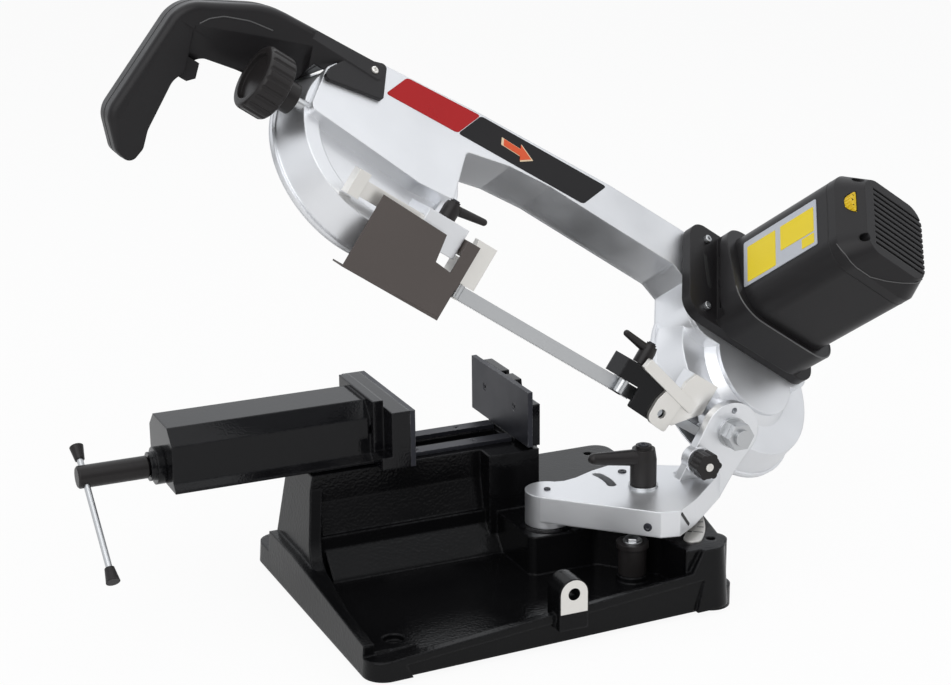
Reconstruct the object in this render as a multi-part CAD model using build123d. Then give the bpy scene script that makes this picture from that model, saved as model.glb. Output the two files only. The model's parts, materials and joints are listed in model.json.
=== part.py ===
from build123d import *
import os
from math import acos, cos, degrees, hypot, atan2, pi, radians, sin, sqrt, tan

# Metal cutting band saw on a bench base: X runs to the right along the vise screw, Y to the back, Z up.
# The origin is the middle of the four bench holes on the plane that the feet stand on. Millimetres, degrees.

# Clearances
FIT = 0.05
SLIP = 0.3

# Blade, wheels and bow placement
BLADE_LOOP = 1440.0
BLADE_WIDTH = 13.0
BLADE_THICK = 0.65
WHEEL_R = 82.0
BLADE_Y = -27.0
BLADE_Z = 122.0
DRIVE_X = 250.6
BOW_TILT = 45.0
HEAD_LIFT = 34.3
HINGE_X = 217.0
HINGE_Z = 138.0
WHEEL_SPAN = BLADE_LOOP / 2 - pi * WHEEL_R
IDLER_X = DRIVE_X - WHEEL_SPAN
UPPER_RUN = 2 * WHEEL_R
TENSION_TRAVEL = 5.0

# Bow casting, in its own plane: x along the blade, v across the bow, w out of its front
BOW_BACK = -13.0
CAVITY_FRONT = 10.5
BOW_FRONT = 22.0
BAND_FRONT = 30.0
COVER_THICK = 1.5
IDLER_HOUSING_R = 93.2
DRIVE_HOUSING_R = 95.4
HOUSING_DRAFT = 9.5
RIM_WIDE = 1.5
RIM_HIGH = 4.0
CAVITY_GAP = 3.0
FLANGE_R = WHEEL_R + 2.5
PANEL_RECESS = 7.4

# Gearbox and motor
GEAR_COVER_TOP = 34.0
GEARBOX_TOP = 62.0
MOTOR_TOP = 186.0
END_CAP_TOP = 218.0
MOTOR_X = DRIVE_X - 6.0
MOTOR_V = 150.0
MOTOR_HALF = 55.0
MOTOR_CORNER = 25.0
STATOR_R = 46.0
ROTOR_R = 29.0
PRESSURE = radians(20.0)
BACKLASH = 0.16
PINION_SHIFT = 0.5

# Hinge and swivel bracket
HINGE_PIN_R = 8.0
HINGE_BOSS_R = 22.0
EAR_FRONT = -60.0
EAR_THICK = 10.0
SWIVEL_X = 38.0
SWIVEL_Y = BLADE_Y
SWIVEL_PIN_R = 11.0
PLATFORM_TOP = 98.0
PLATFORM_BOTTOM = 73.0
PLATFORM_WALL = 8.0
SWIVEL_CAP = PLATFORM_TOP - 4.0
PLUNGER_X = 181.0
PLUNGER_Z = 115.0
PLUNGER_R = 4.0
LOCK_X = 123.0
LOCK_Y = -58.0

# Base casting
BASE_LEFT = -195.0
BASE_RIGHT = 190.0
BASE_FRONT = -166.0
BASE_BACK = 150.0
FOOT_HEIGHT = 6.0
FLOOR_Z = 26.0
TABLE_Z = 64.0
BED_Z = 121.0
RAIL_TOP = 125.0
BASE_WALL = 8.0
HOLE_X = 158.0
HOLE_Y = 125.0
HOLE_R = 4.5
FOOT_R = 19.0
PEDESTAL_FRONT = 41.0
PEDESTAL_BACK = 108.0
PEDESTAL_RIGHT = 60.0
LUG_X = -2.0
LUG_Z = 54.0
LUG_R = 14.0
LUG_BORE_R = 5.75
LUG_THICK = 25.0

# Vise
JAW_FACE_X = 38.5
JAW_NEAR_Y = 16.0
JAW_LENGTH = 131.0
JAW_TOP = 180.0
JAW_PLATE = 5.0
JAW_OPENING = 115.0
SCREW_Y = 82.4
SCREW_Z = 140.0
SCREW_R = 8.0
SLIDE_LEFT = -300.0
SLIDE_NEAR = 46.0
SLIDE_FAR = 120.0
SLIDE_TOP = 182.0
SLIDE_WALL = 8.0
SLIDE_FLARE = 6.0
SLEEVE_R = 10.5
SLEEVE_END = -379.0
TBAR_R = 3.0
TBAR_TURN = 51.0


def rod(x, y, r, z0, z1):
    """Upright cylinder from z0 to z1."""
    return Pos(x, y, (z0 + z1) / 2) * Cylinder(r, z1 - z0)


def rod_x(x0, x1, y, z, r):
    """Cylinder along X."""
    return Pos((x0 + x1) / 2, y, z) * Rot(0, 90, 0) * Cylinder(r, x1 - x0)


def rod_y(y0, y1, x, z, r):
    """Cylinder along Y."""
    return Pos(x, (y0 + y1) / 2, z) * Rot(90, 0, 0) * Cylinder(r, y1 - y0)


def block(x0, x1, y0, y1, z0, z1):
    """Box between two corners."""
    return Pos((x0 + x1) / 2, (y0 + y1) / 2, (z0 + z1) / 2) * Box(x1 - x0, y1 - y0, z1 - z0)


def prism(points, z0, z1, corner=0.0):
    """Plan outline extruded from z0 to z1, with its corners rounded."""
    face = make_face(Polyline(*points, close=True))
    if corner:
        face = fillet(face.vertices(), corner)
    return Pos(0, 0, z0) * extrude(face, z1 - z0)


def rounded(points, z0, z1):
    """Outline whose points each carry a corner radius, extruded from z0 to z1."""
    face = make_face(Polyline(*[point[:2] for point in points], close=True))
    for x, y, corner in points:
        face = fillet(face.vertices().sort_by_distance((x, y, 0))[0], corner)
    return Pos(0, 0, z0) * extrude(face, z1 - z0)


def upright(points, y0, y1, corner=0.0):
    """Front-view outline in X and Z, extruded from y0 to y1."""
    plane = Plane(origin=(0, y1, 0), x_dir=(1, 0, 0), z_dir=(0, -1, 0))
    return plane.location * prism(points, 0, y1 - y0, corner)


def sideways(points, x0, x1, corner=0.0):
    """Side-view outline in Y and Z, extruded from x0 to x1."""
    plane = Plane(origin=(x0, 0, 0), x_dir=(0, 1, 0), z_dir=(1, 0, 0))
    return plane.location * prism(points, 0, x1 - x0, corner)


TILT = radians(BOW_TILT)
BOW = Plane(origin=(0, BLADE_Y, BLADE_Z), x_dir=(1, 0, 0), z_dir=(0, -cos(TILT), sin(TILT)))
LIFT = Pos(HINGE_X, 0, HINGE_Z) * Rot(0, HEAD_LIFT, 0) * Pos(-HINGE_X, 0, -HINGE_Z)


def from_bow(shape):
    """Bow plane to the lowered head."""
    return BOW.location * shape


def to_bow(shape):
    """Lowered head to the bow plane."""
    return BOW.location.inverse() * shape


def raised(shape):
    """Lowered head to the raised head."""
    return LIFT * shape


def bow_part(shape):
    """Bow plane to the raised head."""
    return raised(from_bow(shape))


# Base casting


FOOTPRINT = [
    (BASE_LEFT, BASE_FRONT),
    (BASE_RIGHT - 24, BASE_FRONT + 14),
    (BASE_RIGHT, BASE_FRONT + 116),
    (BASE_RIGHT, BASE_BACK),
    (BASE_LEFT, BASE_BACK),
]
BENCH_HOLES = [(sx * HOLE_X, sy * HOLE_Y) for sx in (-1, 1) for sy in (-1, 1)]
TABLE_EDGE = [(SWIVEL_X - 30, SWIVEL_Y - 28), (SWIVEL_X + 37, SWIVEL_Y - 28), (SWIVEL_X + 80, SWIVEL_Y - 77)]
TRAY_INSET = 12.0
PAD_Z = FLOOR_Z - 6.0
PIVOT_PAD_R = 24.0
SHELF_FRONT = PEDESTAL_FRONT - 33.0
PANEL_DEPTH = 4.0
SWIVEL_REST = TABLE_Z + 2.0
POST_X = 91.0
POST_Y = -98.0
LOCK_RADIUS = hypot(LOCK_X - SWIVEL_X, LOCK_Y - SWIVEL_Y)
LOCK_ANGLE = degrees(atan2(LOCK_Y - SWIVEL_Y, LOCK_X - SWIVEL_X))
SWIVEL_RANGE = 45.0


def base_casting():
    """Hollow tray casting with the vise pedestal, the swivel table, the feet and the stop lug."""
    plan = make_face(Polyline(*FOOTPRINT, close=True))
    plan = fillet(plan.vertices(), 20)
    shell = Pos(0, 0, FOOT_HEIGHT) * extrude(plan, TABLE_Z - FOOT_HEIGHT, taper=4)
    under = offset(plan, -BASE_WALL - 4)
    shell -= extrude(under, FLOOR_Z - BASE_WALL)

    tray = [
        (BASE_LEFT + TRAY_INSET, BASE_FRONT + TRAY_INSET),
        (TABLE_EDGE[2][0] + 8, BASE_FRONT + TRAY_INSET + 8),
        TABLE_EDGE[2],
        TABLE_EDGE[1],
        TABLE_EDGE[0],
        (TABLE_EDGE[0][0], PEDESTAL_FRONT - TRAY_INSET),
        (BASE_LEFT + TRAY_INSET, PEDESTAL_FRONT - TRAY_INSET),
    ]
    shell -= prism(tray, FLOOR_Z, TABLE_Z + 1, 9)
    sill_left = FLOOR_Z - 4
    sill_right = TABLE_Z - 20
    front_cut = [
        (BASE_LEFT - 10, sill_left),
        (TABLE_EDGE[2][0] + 8, sill_right),
        (TABLE_EDGE[2][0] + 20, TABLE_Z + 1),
        (BASE_LEFT - 10, TABLE_Z + 1),
    ]
    shell -= upright(front_cut, BASE_FRONT - 5, BASE_FRONT + TRAY_INSET + 10)
    side_cut = [
        (BASE_FRONT - 5, FLOOR_Z + 6),
        (PEDESTAL_FRONT, FLOOR_Z + 20),
        (PEDESTAL_BACK + 1, FLOOR_Z + 20),
        (PEDESTAL_BACK + 1, TABLE_Z + 1),
        (BASE_FRONT - 5, TABLE_Z + 1),
    ]
    shell -= sideways(side_cut, BASE_LEFT - 5, BASE_LEFT + TRAY_INSET + 10)
    back_cut = block(BASE_LEFT - 5, PEDESTAL_RIGHT, PEDESTAL_BACK, BASE_BACK + 5, FLOOR_Z, TABLE_Z + 1)
    shell -= back_cut
    table_under = [
        (PEDESTAL_RIGHT, PEDESTAL_FRONT + 20),
        (BASE_RIGHT - 20, PEDESTAL_FRONT + 20),
        (BASE_RIGHT - 20, BASE_BACK - 50),
        (PEDESTAL_RIGHT, BASE_BACK - 50),
    ]
    shell -= prism(table_under, 0, TABLE_Z - BASE_WALL, 6)

    foot_x = BASE_LEFT + 6
    bed_left = BASE_LEFT + 25
    skirt = FLOOR_Z - 6
    outside = [(foot_x, skirt), (bed_left, BED_Z), (PEDESTAL_RIGHT, BED_Z), (PEDESTAL_RIGHT, skirt)]
    inside = [
        (foot_x + BASE_WALL + 3, -1),
        (bed_left + BASE_WALL, BED_Z - 2 * BASE_WALL),
        (PEDESTAL_RIGHT - BASE_WALL, BED_Z - 2 * BASE_WALL),
        (PEDESTAL_RIGHT - BASE_WALL, -1),
    ]
    pedestal = upright(outside, PEDESTAL_FRONT, PEDESTAL_BACK)
    shelf = [
        (PEDESTAL_FRONT + 3, BED_Z - 14, 0.5),
        (PEDESTAL_FRONT - 9, FLOOR_Z + 28, 16),
        (SHELF_FRONT, FLOOR_Z + 2, 5),
        (SHELF_FRONT, FLOOR_Z - 6, 0.5),
        (PEDESTAL_FRONT + 3, FLOOR_Z - 6, 0.5),
    ]
    side_view = Plane(origin=(bed_left + 6, 0, 0), x_dir=(0, 1, 0), z_dir=(1, 0, 0))
    pedestal += side_view.location * rounded(shelf, 0, SWIVEL_X - bed_left - 6)
    rise = [
        (SHELF_FRONT - 90, FLOOR_Z - 6, 0.5),
        (SHELF_FRONT - 90, FLOOR_Z - 2, 0.5),
        (SHELF_FRONT + 10, FLOOR_Z + 19, 36),
        (PEDESTAL_FRONT + 3, BED_Z - 6, 0.5),
        (PEDESTAL_FRONT + 3, FLOOR_Z - 6, 0.5),
    ]
    left_view = Plane(origin=(BASE_LEFT, 0, 0), x_dir=(0, 1, 0), z_dir=(1, 0, 0))
    wall = left_view.location * rounded(rise, 0, bed_left + 2 * TRAY_INSET - BASE_LEFT)
    slant = [outside[0], outside[1], (bed_left + TRAY_INSET, BED_Z), (foot_x + TRAY_INSET, FLOOR_Z - 6)]
    pedestal += wall & upright(slant, SHELF_FRONT - 95, PEDESTAL_FRONT + 3)
    column_right = JAW_FACE_X + 13.5
    pedestal += block(0, column_right, JAW_NEAR_Y + 4, PEDESTAL_FRONT, FLOOR_Z - 6, BED_Z)
    shell += pedestal
    shell -= upright(inside, PEDESTAL_FRONT + BASE_WALL, PEDESTAL_BACK - BASE_WALL)
    key_side = (KEY_NEAR - SLIP, KEY_FAR + SLIP)
    keyway = block(bed_left - 5, JAW_FACE_X - 2, *key_side, KEY_BOTTOM - SLIP, BED_Z + 1)
    shell -= keyway

    shell += rod(SWIVEL_X, SWIVEL_Y, PIVOT_PAD_R, TABLE_Z - 4, SWIVEL_REST - SLIP)
    track = rod(SWIVEL_X, SWIVEL_Y, LOCK_RADIUS + 16, TABLE_Z - 4, SWIVEL_REST - SLIP)
    track -= rod(SWIVEL_X, SWIVEL_Y, LOCK_RADIUS - 16, TABLE_Z - 5, TABLE_Z + 5)
    reach = LOCK_RADIUS + 20
    low = radians(LOCK_ANGLE - 12)
    high = radians(LOCK_ANGLE + SWIVEL_RANGE + 12)
    wedge = [
        (SWIVEL_X, SWIVEL_Y),
        (SWIVEL_X + reach * cos(low), SWIVEL_Y + reach * sin(low)),
        (SWIVEL_X + 1.3 * reach, SWIVEL_Y),
        (SWIVEL_X + reach * cos(high), SWIVEL_Y + reach * sin(high)),
    ]
    shell += track & prism(wedge, 0, TABLE_Z + 5)
    shell -= rod(SWIVEL_X, SWIVEL_Y, SWIVEL_PIN_R, FLOOR_Z, TABLE_Z + 5)
    slot = Pos(SWIVEL_X, SWIVEL_Y, TABLE_Z - 20) * extrude(
        SlotArc(CenterArc((0, 0), LOCK_RADIUS, LOCK_ANGLE - 3, SWIVEL_RANGE + 6), 2 * LOCK_STUD_R + 1), 40
    )
    shell -= slot

    shell += rod(POST_X, POST_Y, POST_R + 2, FLOOR_Z - 6, FLOOR_Z + 6)
    for x, y in BENCH_HOLES:
        top = TABLE_Z if x > 0 else PAD_Z
        shell += rod(x, y, FOOT_R, 0, PAD_Z)
        if top > PAD_Z:
            shell += rod(x, y, FOOT_R - 4, PAD_Z, top)
        else:
            shell -= rod(x, y, HOLE_R + 5, PAD_Z, TABLE_Z + 1)
        shell -= rod(x, y, HOLE_R, -1, top + 1)

    edge_x = FOOTPRINT[1][0] - FOOTPRINT[0][0]
    edge_y = FOOTPRINT[1][1] - FOOTPRINT[0][1]
    skew = degrees(atan2(edge_y, edge_x))
    panel = [
        (40, FOOT_HEIGHT - 1),
        (edge_x - 36, FOOT_HEIGHT - 1),
        (edge_x - 28, sill_right - 8),
        (34, sill_left - 4),
    ]
    recess = upright(panel, -10, PANEL_DEPTH)
    shell -= Pos(*FOOTPRINT[0], 0) * Rot(0, 0, skew) * recess

    lug_front = BASE_FRONT + 2
    lug = block(LUG_X - LUG_R, LUG_X + LUG_R, lug_front, lug_front + LUG_THICK, FLOOR_Z - 6, LUG_Z)
    lug += rod_y(lug_front, lug_front + LUG_THICK, LUG_X, LUG_Z, LUG_R)
    shell += lug
    shell -= rod_y(lug_front - 1, lug_front + LUG_THICK + 1, LUG_X, LUG_Z, LUG_BORE_R)
    return shell


RAIL_WIDTH = 14.0
KEY_NEAR = SCREW_Y - 7.0
KEY_FAR = SCREW_Y + 7.0
KEY_BOTTOM = BED_Z - 6.0
RAIL_NEAR_Y = SLIDE_NEAR + 4.0
RAIL_FAR_Y = PEDESTAL_BACK - 2.0 - RAIL_WIDTH
RAIL_SCREWS = [-120.0, -60.0, 0.0]


def bed_rails():
    """Two flat steel strips that the vise slide runs on."""
    rails = []
    for y in (RAIL_NEAR_Y, RAIL_FAR_Y):
        strip = block(BASE_LEFT + 28, JAW_FACE_X - 1, y, y + RAIL_WIDTH, BED_Z, RAIL_TOP)
        for x in RAIL_SCREWS:
            strip -= rod(x, y + RAIL_WIDTH / 2, 3.0, BED_Z - 1, RAIL_TOP + 1)
        rails.append(strip)
    return rails


JAW_FAR_Y = JAW_NEAR_Y + JAW_LENGTH
JAW_BACK_X = JAW_FACE_X + JAW_PLATE
JAW_WEB = 9.0
JAW_SCREW_R = 4.0
JAW_SCREW_Z = (RAIL_TOP + JAW_TOP) / 2 + 4
JAW_SCREW_Y = (JAW_NEAR_Y + 0.24 * JAW_LENGTH, JAW_FAR_Y - 0.24 * JAW_LENGTH)


def fixed_jaw():
    """Upright jaw casting with a bolted foot and two ribs."""
    shoulder = JAW_TOP - 14
    crest = [
        (JAW_NEAR_Y + 3, RAIL_TOP),
        (JAW_FAR_Y, RAIL_TOP),
        (JAW_FAR_Y, shoulder),
        (JAW_FAR_Y - 12, shoulder),
        (JAW_FAR_Y - 18, JAW_TOP),
        (JAW_FAR_Y - 59, JAW_TOP),
        (JAW_FAR_Y - 60, JAW_TOP - 7),
        (JAW_FAR_Y - 66, JAW_TOP - 7),
        (JAW_FAR_Y - 67, JAW_TOP - 1),
        (JAW_FAR_Y - 87, JAW_TOP - 1),
        (JAW_FAR_Y - 90, shoulder),
        (JAW_NEAR_Y + 3, shoulder),
    ]
    web = sideways(crest, JAW_BACK_X, JAW_BACK_X + JAW_WEB)
    foot = block(JAW_FACE_X, PEDESTAL_RIGHT - 1, PEDESTAL_FRONT + 6, PEDESTAL_BACK - 1, BED_Z, RAIL_TOP + 8)
    foot -= block(JAW_FACE_X - 1, JAW_BACK_X, JAW_NEAR_Y, JAW_FAR_Y, RAIL_TOP, JAW_TOP)
    casting = web + foot
    rib = [
        (JAW_BACK_X, RAIL_TOP),
        (PEDESTAL_RIGHT - 1, RAIL_TOP + 8),
        (JAW_BACK_X + JAW_WEB, JAW_TOP - 12),
        (JAW_BACK_X, JAW_TOP - 12),
    ]
    for y in (PEDESTAL_FRONT + 12, PEDESTAL_BACK - 14):
        casting += upright(rib, y, y + 7)
    for y in JAW_SCREW_Y:
        casting -= rod_x(JAW_BACK_X - 1, JAW_BACK_X + JAW_WEB + 1, y, JAW_SCREW_Z, JAW_SCREW_R)
    return casting


def jaw_plate(x0):
    """Hardened plate with two countersunk holes, from x0 to its face."""
    plate = block(x0, x0 + JAW_PLATE, JAW_NEAR_Y, JAW_FAR_Y, RAIL_TOP + SLIP, JAW_TOP)
    for y in JAW_SCREW_Y:
        plate -= rod_x(x0 - 1, x0 + JAW_PLATE + 1, y, JAW_SCREW_Z, JAW_SCREW_R)
    return plate


NUT_LEFT = -166.0
NUT_RIGHT = -142.0
NUT_HALF = 9.0


def vise_nut():
    """Block with the vise thread, bolted on the bed inside the slide."""
    nut = block(NUT_LEFT, NUT_RIGHT, SCREW_Y - NUT_HALF, SCREW_Y + NUT_HALF, BED_Z, SCREW_Z + 14)
    nut -= rod_x(NUT_LEFT - 1, NUT_RIGHT + 1, SCREW_Y, SCREW_Z, SCREW_R + FIT)
    return nut


POST_R = 13.0


def mitre_stop_post():
    """Round post for the swivel's end stop, with a flanged head and a bolt."""
    post = rod(POST_X, POST_Y, POST_R, FLOOR_Z + 6, TABLE_Z - 6)
    post += rod(POST_X, POST_Y, POST_R + 2, TABLE_Z - 6, TABLE_Z - 1)
    post += Pos(POST_X, POST_Y, TABLE_Z - 1) * extrude(RegularPolygon(6, 6), 4)
    return post


SCALE_OUTER_R = 148.0
SCALE_WIDTH = 17.0


def mitre_scale():
    """Quarter ring plate let on to the table round the swivel pin."""
    face = SlotArc(CenterArc((0, 0), SCALE_OUTER_R - SCALE_WIDTH / 2, -42, 62), SCALE_WIDTH)
    ring = Pos(SWIVEL_X, SWIVEL_Y, TABLE_Z) * extrude(face, 1.2)
    return ring


def swivel_pin():
    """Pin that the bracket turns on, held in the table, under the bracket's closed tip."""
    return rod(SWIVEL_X, SWIVEL_Y, SWIVEL_PIN_R, FLOOR_Z, SWIVEL_CAP - SLIP)


# Vise slide and screw


JAW_REAR_X = JAW_FACE_X - JAW_OPENING - JAW_PLATE
SLIDE_RIGHT = JAW_REAR_X - 28.0
SLIDE_BOTTOM = RAIL_TOP + SLIP
BUSH_R = 17.5
BUSH_LEFT = SLIDE_LEFT - 13.0


def slide_section(inset):
    """Section of the slide with its flared foot, or its hollow moved in by inset."""
    near = SLIDE_NEAR + inset
    far = SLIDE_FAR - inset
    top = SLIDE_TOP - inset
    cut = 14.0 - 0.4 * inset
    flare = 0 if inset else SLIDE_FLARE
    return [
        (near - flare, SLIDE_BOTTOM),
        (far + flare, SLIDE_BOTTOM),
        (far + flare, SLIDE_BOTTOM + 2),
        (far, SLIDE_BOTTOM + 2 + SLIDE_FLARE),
        (far, top - cut),
        (far - cut, top),
        (near + cut, top),
        (near, top - cut),
        (near, SLIDE_BOTTOM + 2 + SLIDE_FLARE),
        (near - flare, SLIDE_BOTTOM + 2),
    ]


def vise_slide():
    """Hollow hexagonal slide with the ribbed moving jaw at its right end."""
    casting = sideways(slide_section(0), SLIDE_LEFT, SLIDE_RIGHT)
    casting -= sideways(slide_section(SLIDE_WALL), SLIDE_LEFT + SLIDE_WALL, SLIDE_RIGHT)
    jaw = block(SLIDE_RIGHT + 10, JAW_REAR_X, JAW_NEAR_Y, JAW_FAR_Y, SLIDE_BOTTOM, JAW_TOP)
    jaw += block(SLIDE_RIGHT, SLIDE_RIGHT + 10, SLIDE_NEAR - 8, SLIDE_FAR + 8, SLIDE_BOTTOM, SLIDE_TOP + 4)
    for y in (JAW_NEAR_Y, SLIDE_FAR + 8):
        rib_end = SLIDE_NEAR - 8 if y == JAW_NEAR_Y else JAW_FAR_Y
        jaw += block(SLIDE_RIGHT, SLIDE_RIGHT + 10, y, rib_end, SLIDE_BOTTOM, SLIDE_BOTTOM + 12)
    casting += jaw
    key_right = JAW_REAR_X - 4
    casting += block(SLIDE_RIGHT, key_right, KEY_NEAR, KEY_FAR, KEY_BOTTOM, SLIDE_BOTTOM)
    casting -= rod_x(SLIDE_LEFT - 1, SLIDE_LEFT + SLIDE_WALL + 1, SCREW_Y, SCREW_Z, SCREW_R + FIT)
    for y in JAW_SCREW_Y:
        casting -= rod_x(SLIDE_RIGHT - 1, JAW_REAR_X + 1, y, JAW_SCREW_Z, JAW_SCREW_R)
    return casting


def vise_bush():
    """Stepped bush on the slide's end wall."""
    bush = rod_x(BUSH_LEFT + 5, SLIDE_LEFT, SCREW_Y, SCREW_Z, BUSH_R)
    bush += rod_x(BUSH_LEFT, BUSH_LEFT + 5, SCREW_Y, SCREW_Z, BUSH_R - 4)
    return bush - rod_x(BUSH_LEFT - 1, SLIDE_LEFT + 1, SCREW_Y, SCREW_Z, SCREW_R + FIT)


TBAR_X = SLEEVE_END + 7.0
TBAR_UP = 32.0
TBAR_DOWN = 110.0
TBAR_KNOB_R = 6.5
TBAR_KNOB = 14.0
TBAR = Pos(TBAR_X, SCREW_Y, SCREW_Z) * Rot(-TBAR_TURN, 0, 0)


def vise_screw():
    """Clamping screw with its outer sleeve and its inner collar."""
    inner = SLIDE_LEFT + SLIDE_WALL + SLIP
    screw = rod_x(BUSH_LEFT - SLIP, NUT_RIGHT + 20, SCREW_Y, SCREW_Z, SCREW_R)
    screw += rod_x(inner, inner + 6, SCREW_Y, SCREW_Z, SCREW_R + 4)
    sleeve = rod_x(SLEEVE_END, BUSH_LEFT - SLIP, SCREW_Y, SCREW_Z, SLEEVE_R)
    sleeve = chamfer(sleeve.edges().filter_by(GeomType.CIRCLE), 1.5)
    return screw + sleeve - TBAR * Cylinder(TBAR_R + FIT, 4 * SLEEVE_R)


def vise_tbar():
    """Sliding cross bar of the clamping screw."""
    return TBAR * rod(0, 0, TBAR_R, -TBAR_DOWN + 4, TBAR_UP - 4)


def vise_tbar_knobs():
    """Two conical end knobs on the cross bar."""
    bore = rod(0, 0, TBAR_R, 0, TBAR_KNOB - 4)
    knob = Pos(0, 0, TBAR_KNOB / 2) * Cone(TBAR_KNOB_R - 2, TBAR_KNOB_R, TBAR_KNOB)
    knob -= bore
    upper = TBAR * Pos(0, 0, TBAR_UP - TBAR_KNOB) * knob
    lower = TBAR * Pos(0, 0, TBAR_KNOB - TBAR_DOWN) * Rot(180, 0, 0) * knob
    return [upper, lower]


# Swivel bracket


LOCK_STUD_R = 6.0
LOCK_HUB_TOP = PLATFORM_TOP + 48.0
EAR_BACK = EAR_FRONT + EAR_THICK
EAR_R = 29.0
PIVOT_END_R = 21.0
BRACKET_RIGHT = 205.0


def swivel_bracket():
    """Cast platform that turns on the base, with the upright hinge ear."""
    tip = (SWIVEL_X, SWIVEL_Y)
    plan = [
        (tip[0] - 15, tip[1] - 15),
        (106, -124),
        (124, -128),
        (152, -108),
        (BRACKET_RIGHT, EAR_FRONT),
        (BRACKET_RIGHT, EAR_FRONT + 22),
        (168, -18),
        (130, 8),
        (98, -1),
        (76, -11),
        (62, -14),
        (tip[0] + 15, tip[1] + 15),
    ]
    deck = prism(plan, PLATFORM_BOTTOM, PLATFORM_TOP) + rod(*tip, PIVOT_END_R, PLATFORM_BOTTOM, PLATFORM_TOP)
    hollow = offset(make_face(Polyline(*plan, close=True)), -PLATFORM_WALL)
    deck -= Pos(0, 0, PLATFORM_BOTTOM - 1) * extrude(hollow, PLATFORM_TOP - PLATFORM_BOTTOM - PLATFORM_WALL)
    deck += rod(*tip, PIVOT_END_R, SWIVEL_REST, PLATFORM_TOP)
    deck += rod(LOCK_X, LOCK_Y, LOCK_STUD_R + 9, SWIVEL_REST, PLATFORM_TOP)
    deck -= rod(*tip, SWIVEL_PIN_R + FIT, SWIVEL_REST - 1, SWIVEL_CAP)
    deck -= rod(LOCK_X, LOCK_Y, LOCK_STUD_R, SWIVEL_REST - 1, PLATFORM_TOP + 1)

    ear = [
        (HINGE_X - 24, HINGE_Z + 16),
        (HINGE_X - 58, PLATFORM_TOP - 3),
        (HINGE_X - 60, PLATFORM_BOTTOM),
        (HINGE_X - 12, PLATFORM_BOTTOM),
        (HINGE_X + 2, PLATFORM_TOP - 3),
        (HINGE_X + 27, HINGE_Z - 12),
        (HINGE_X, HINGE_Z),
    ]
    leaf = upright(ear, EAR_FRONT, EAR_BACK) + rod_y(EAR_FRONT, EAR_BACK, HINGE_X, HINGE_Z, EAR_R)
    leaf += rod_y(EAR_FRONT - 2, EAR_BACK, PLUNGER_X, PLUNGER_Z, PLUNGER_R + 9)
    root = EAR_BACK - 2
    gusset = [(root, PLATFORM_TOP - 2), (root + 16, PLATFORM_TOP - 2), (root, PLATFORM_TOP + 8)]
    leaf += sideways(gusset, HINGE_X - 52, HINGE_X - 20)
    leaf -= rod_y(EAR_FRONT - 1, EAR_BACK + 1, HINGE_X + 2, HINGE_Z + 21, 3.0)
    bracket = deck + leaf
    bracket -= rod_y(EAR_FRONT - 5, EAR_BACK + 5, HINGE_X, HINGE_Z, HINGE_PIN_R)
    bracket -= rod_y(EAR_FRONT - 5, EAR_BACK + 5, PLUNGER_X, PLUNGER_Z, PLUNGER_R + FIT)
    arc = SlotArc(CenterArc((0, 0), 62, -14, 28), 9)
    bracket -= Pos(*tip, PLATFORM_BOTTOM) * extrude(arc, PLATFORM_TOP)
    return bracket


HINGE_PIN_BACK = -31.0
HINGE_NUT_FRONT = EAR_FRONT - 22.0


def hinge_pin():
    """Stub pin fixed in the ear, threaded at its front end."""
    return rod_y(HINGE_NUT_FRONT, HINGE_PIN_BACK, HINGE_X, HINGE_Z, HINGE_PIN_R)


def hex_nut(y0, y1, x, z, flats, bore):
    """Nut along Y."""
    nut = Pos(x, y1, z) * Rot(90, 0, 0) * extrude(RegularPolygon(flats / 2, 6, major_radius=False), y1 - y0)
    return nut - rod_y(y0 - 1, y1 + 1, x, z, bore)


def hinge_nut():
    """Washer and two nuts on the hinge pin."""
    washer = rod_y(EAR_FRONT - 2.5, EAR_FRONT, HINGE_X, HINGE_Z, 15) - hinge_pin()
    nuts = [
        hex_nut(EAR_FRONT - 10.5, EAR_FRONT - 2.5, HINGE_X, HINGE_Z, 24, HINGE_PIN_R),
        hex_nut(EAR_FRONT - 18, EAR_FRONT - 11, HINGE_X, HINGE_Z, 24, HINGE_PIN_R),
    ]
    return [washer] + nuts


def lock_stud():
    """Clamp stud with a head under the table and a washer on the bracket."""
    stud = rod(LOCK_X, LOCK_Y, LOCK_STUD_R, TABLE_Z - BASE_WALL - 12, LOCK_HUB_TOP - 12)
    washer = rod(LOCK_X, LOCK_Y, LOCK_STUD_R + 8, PLATFORM_TOP, PLATFORM_TOP + 2.5)
    return stud + washer


def lever(hub_r, hub_height, arm_length, arm_r, bore_r, bore_depth):
    """Clamp lever about Z, arm along -X, hub standing on z = 0."""
    hub = Pos(0, 0, hub_height * 0.35) * Cylinder(hub_r, hub_height * 0.7)
    hub += Pos(0, 0, hub_height * 0.85) * Cone(hub_r, hub_r * 0.86, hub_height * 0.3)
    hub += Pos(0, 0, hub_height) * Cylinder(hub_r * 0.6, hub_r * 0.5)
    tip_r = arm_r * 0.8
    reach = hypot(arm_length, LEVER_RISE * arm_length)
    slope = degrees(atan2(LEVER_RISE, 1))
    arm = Rot(0, slope - 90, 0) * Pos(0, 0, reach / 2) * Cone(arm_r * 1.2, tip_r, reach)
    arm += Pos(-arm_length, 0, LEVER_RISE * arm_length) * Sphere(tip_r)
    shape = hub + Pos(0, 0, hub_height - 1.3 * arm_r) * arm
    return shape - rod(0, 0, bore_r, -1, bore_depth)


LEVER_RISE = 0.12


def swivel_lever():
    """Ratchet lever on the swivel's clamp stud."""
    base = PLATFORM_TOP + 2.5 + SLIP
    depth = LOCK_HUB_TOP - 12 - base + SLIP
    return Pos(LOCK_X, LOCK_Y, base) * lever(12.5, LOCK_HUB_TOP - base - 10, 52, 7, LOCK_STUD_R + FIT, depth)


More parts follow.
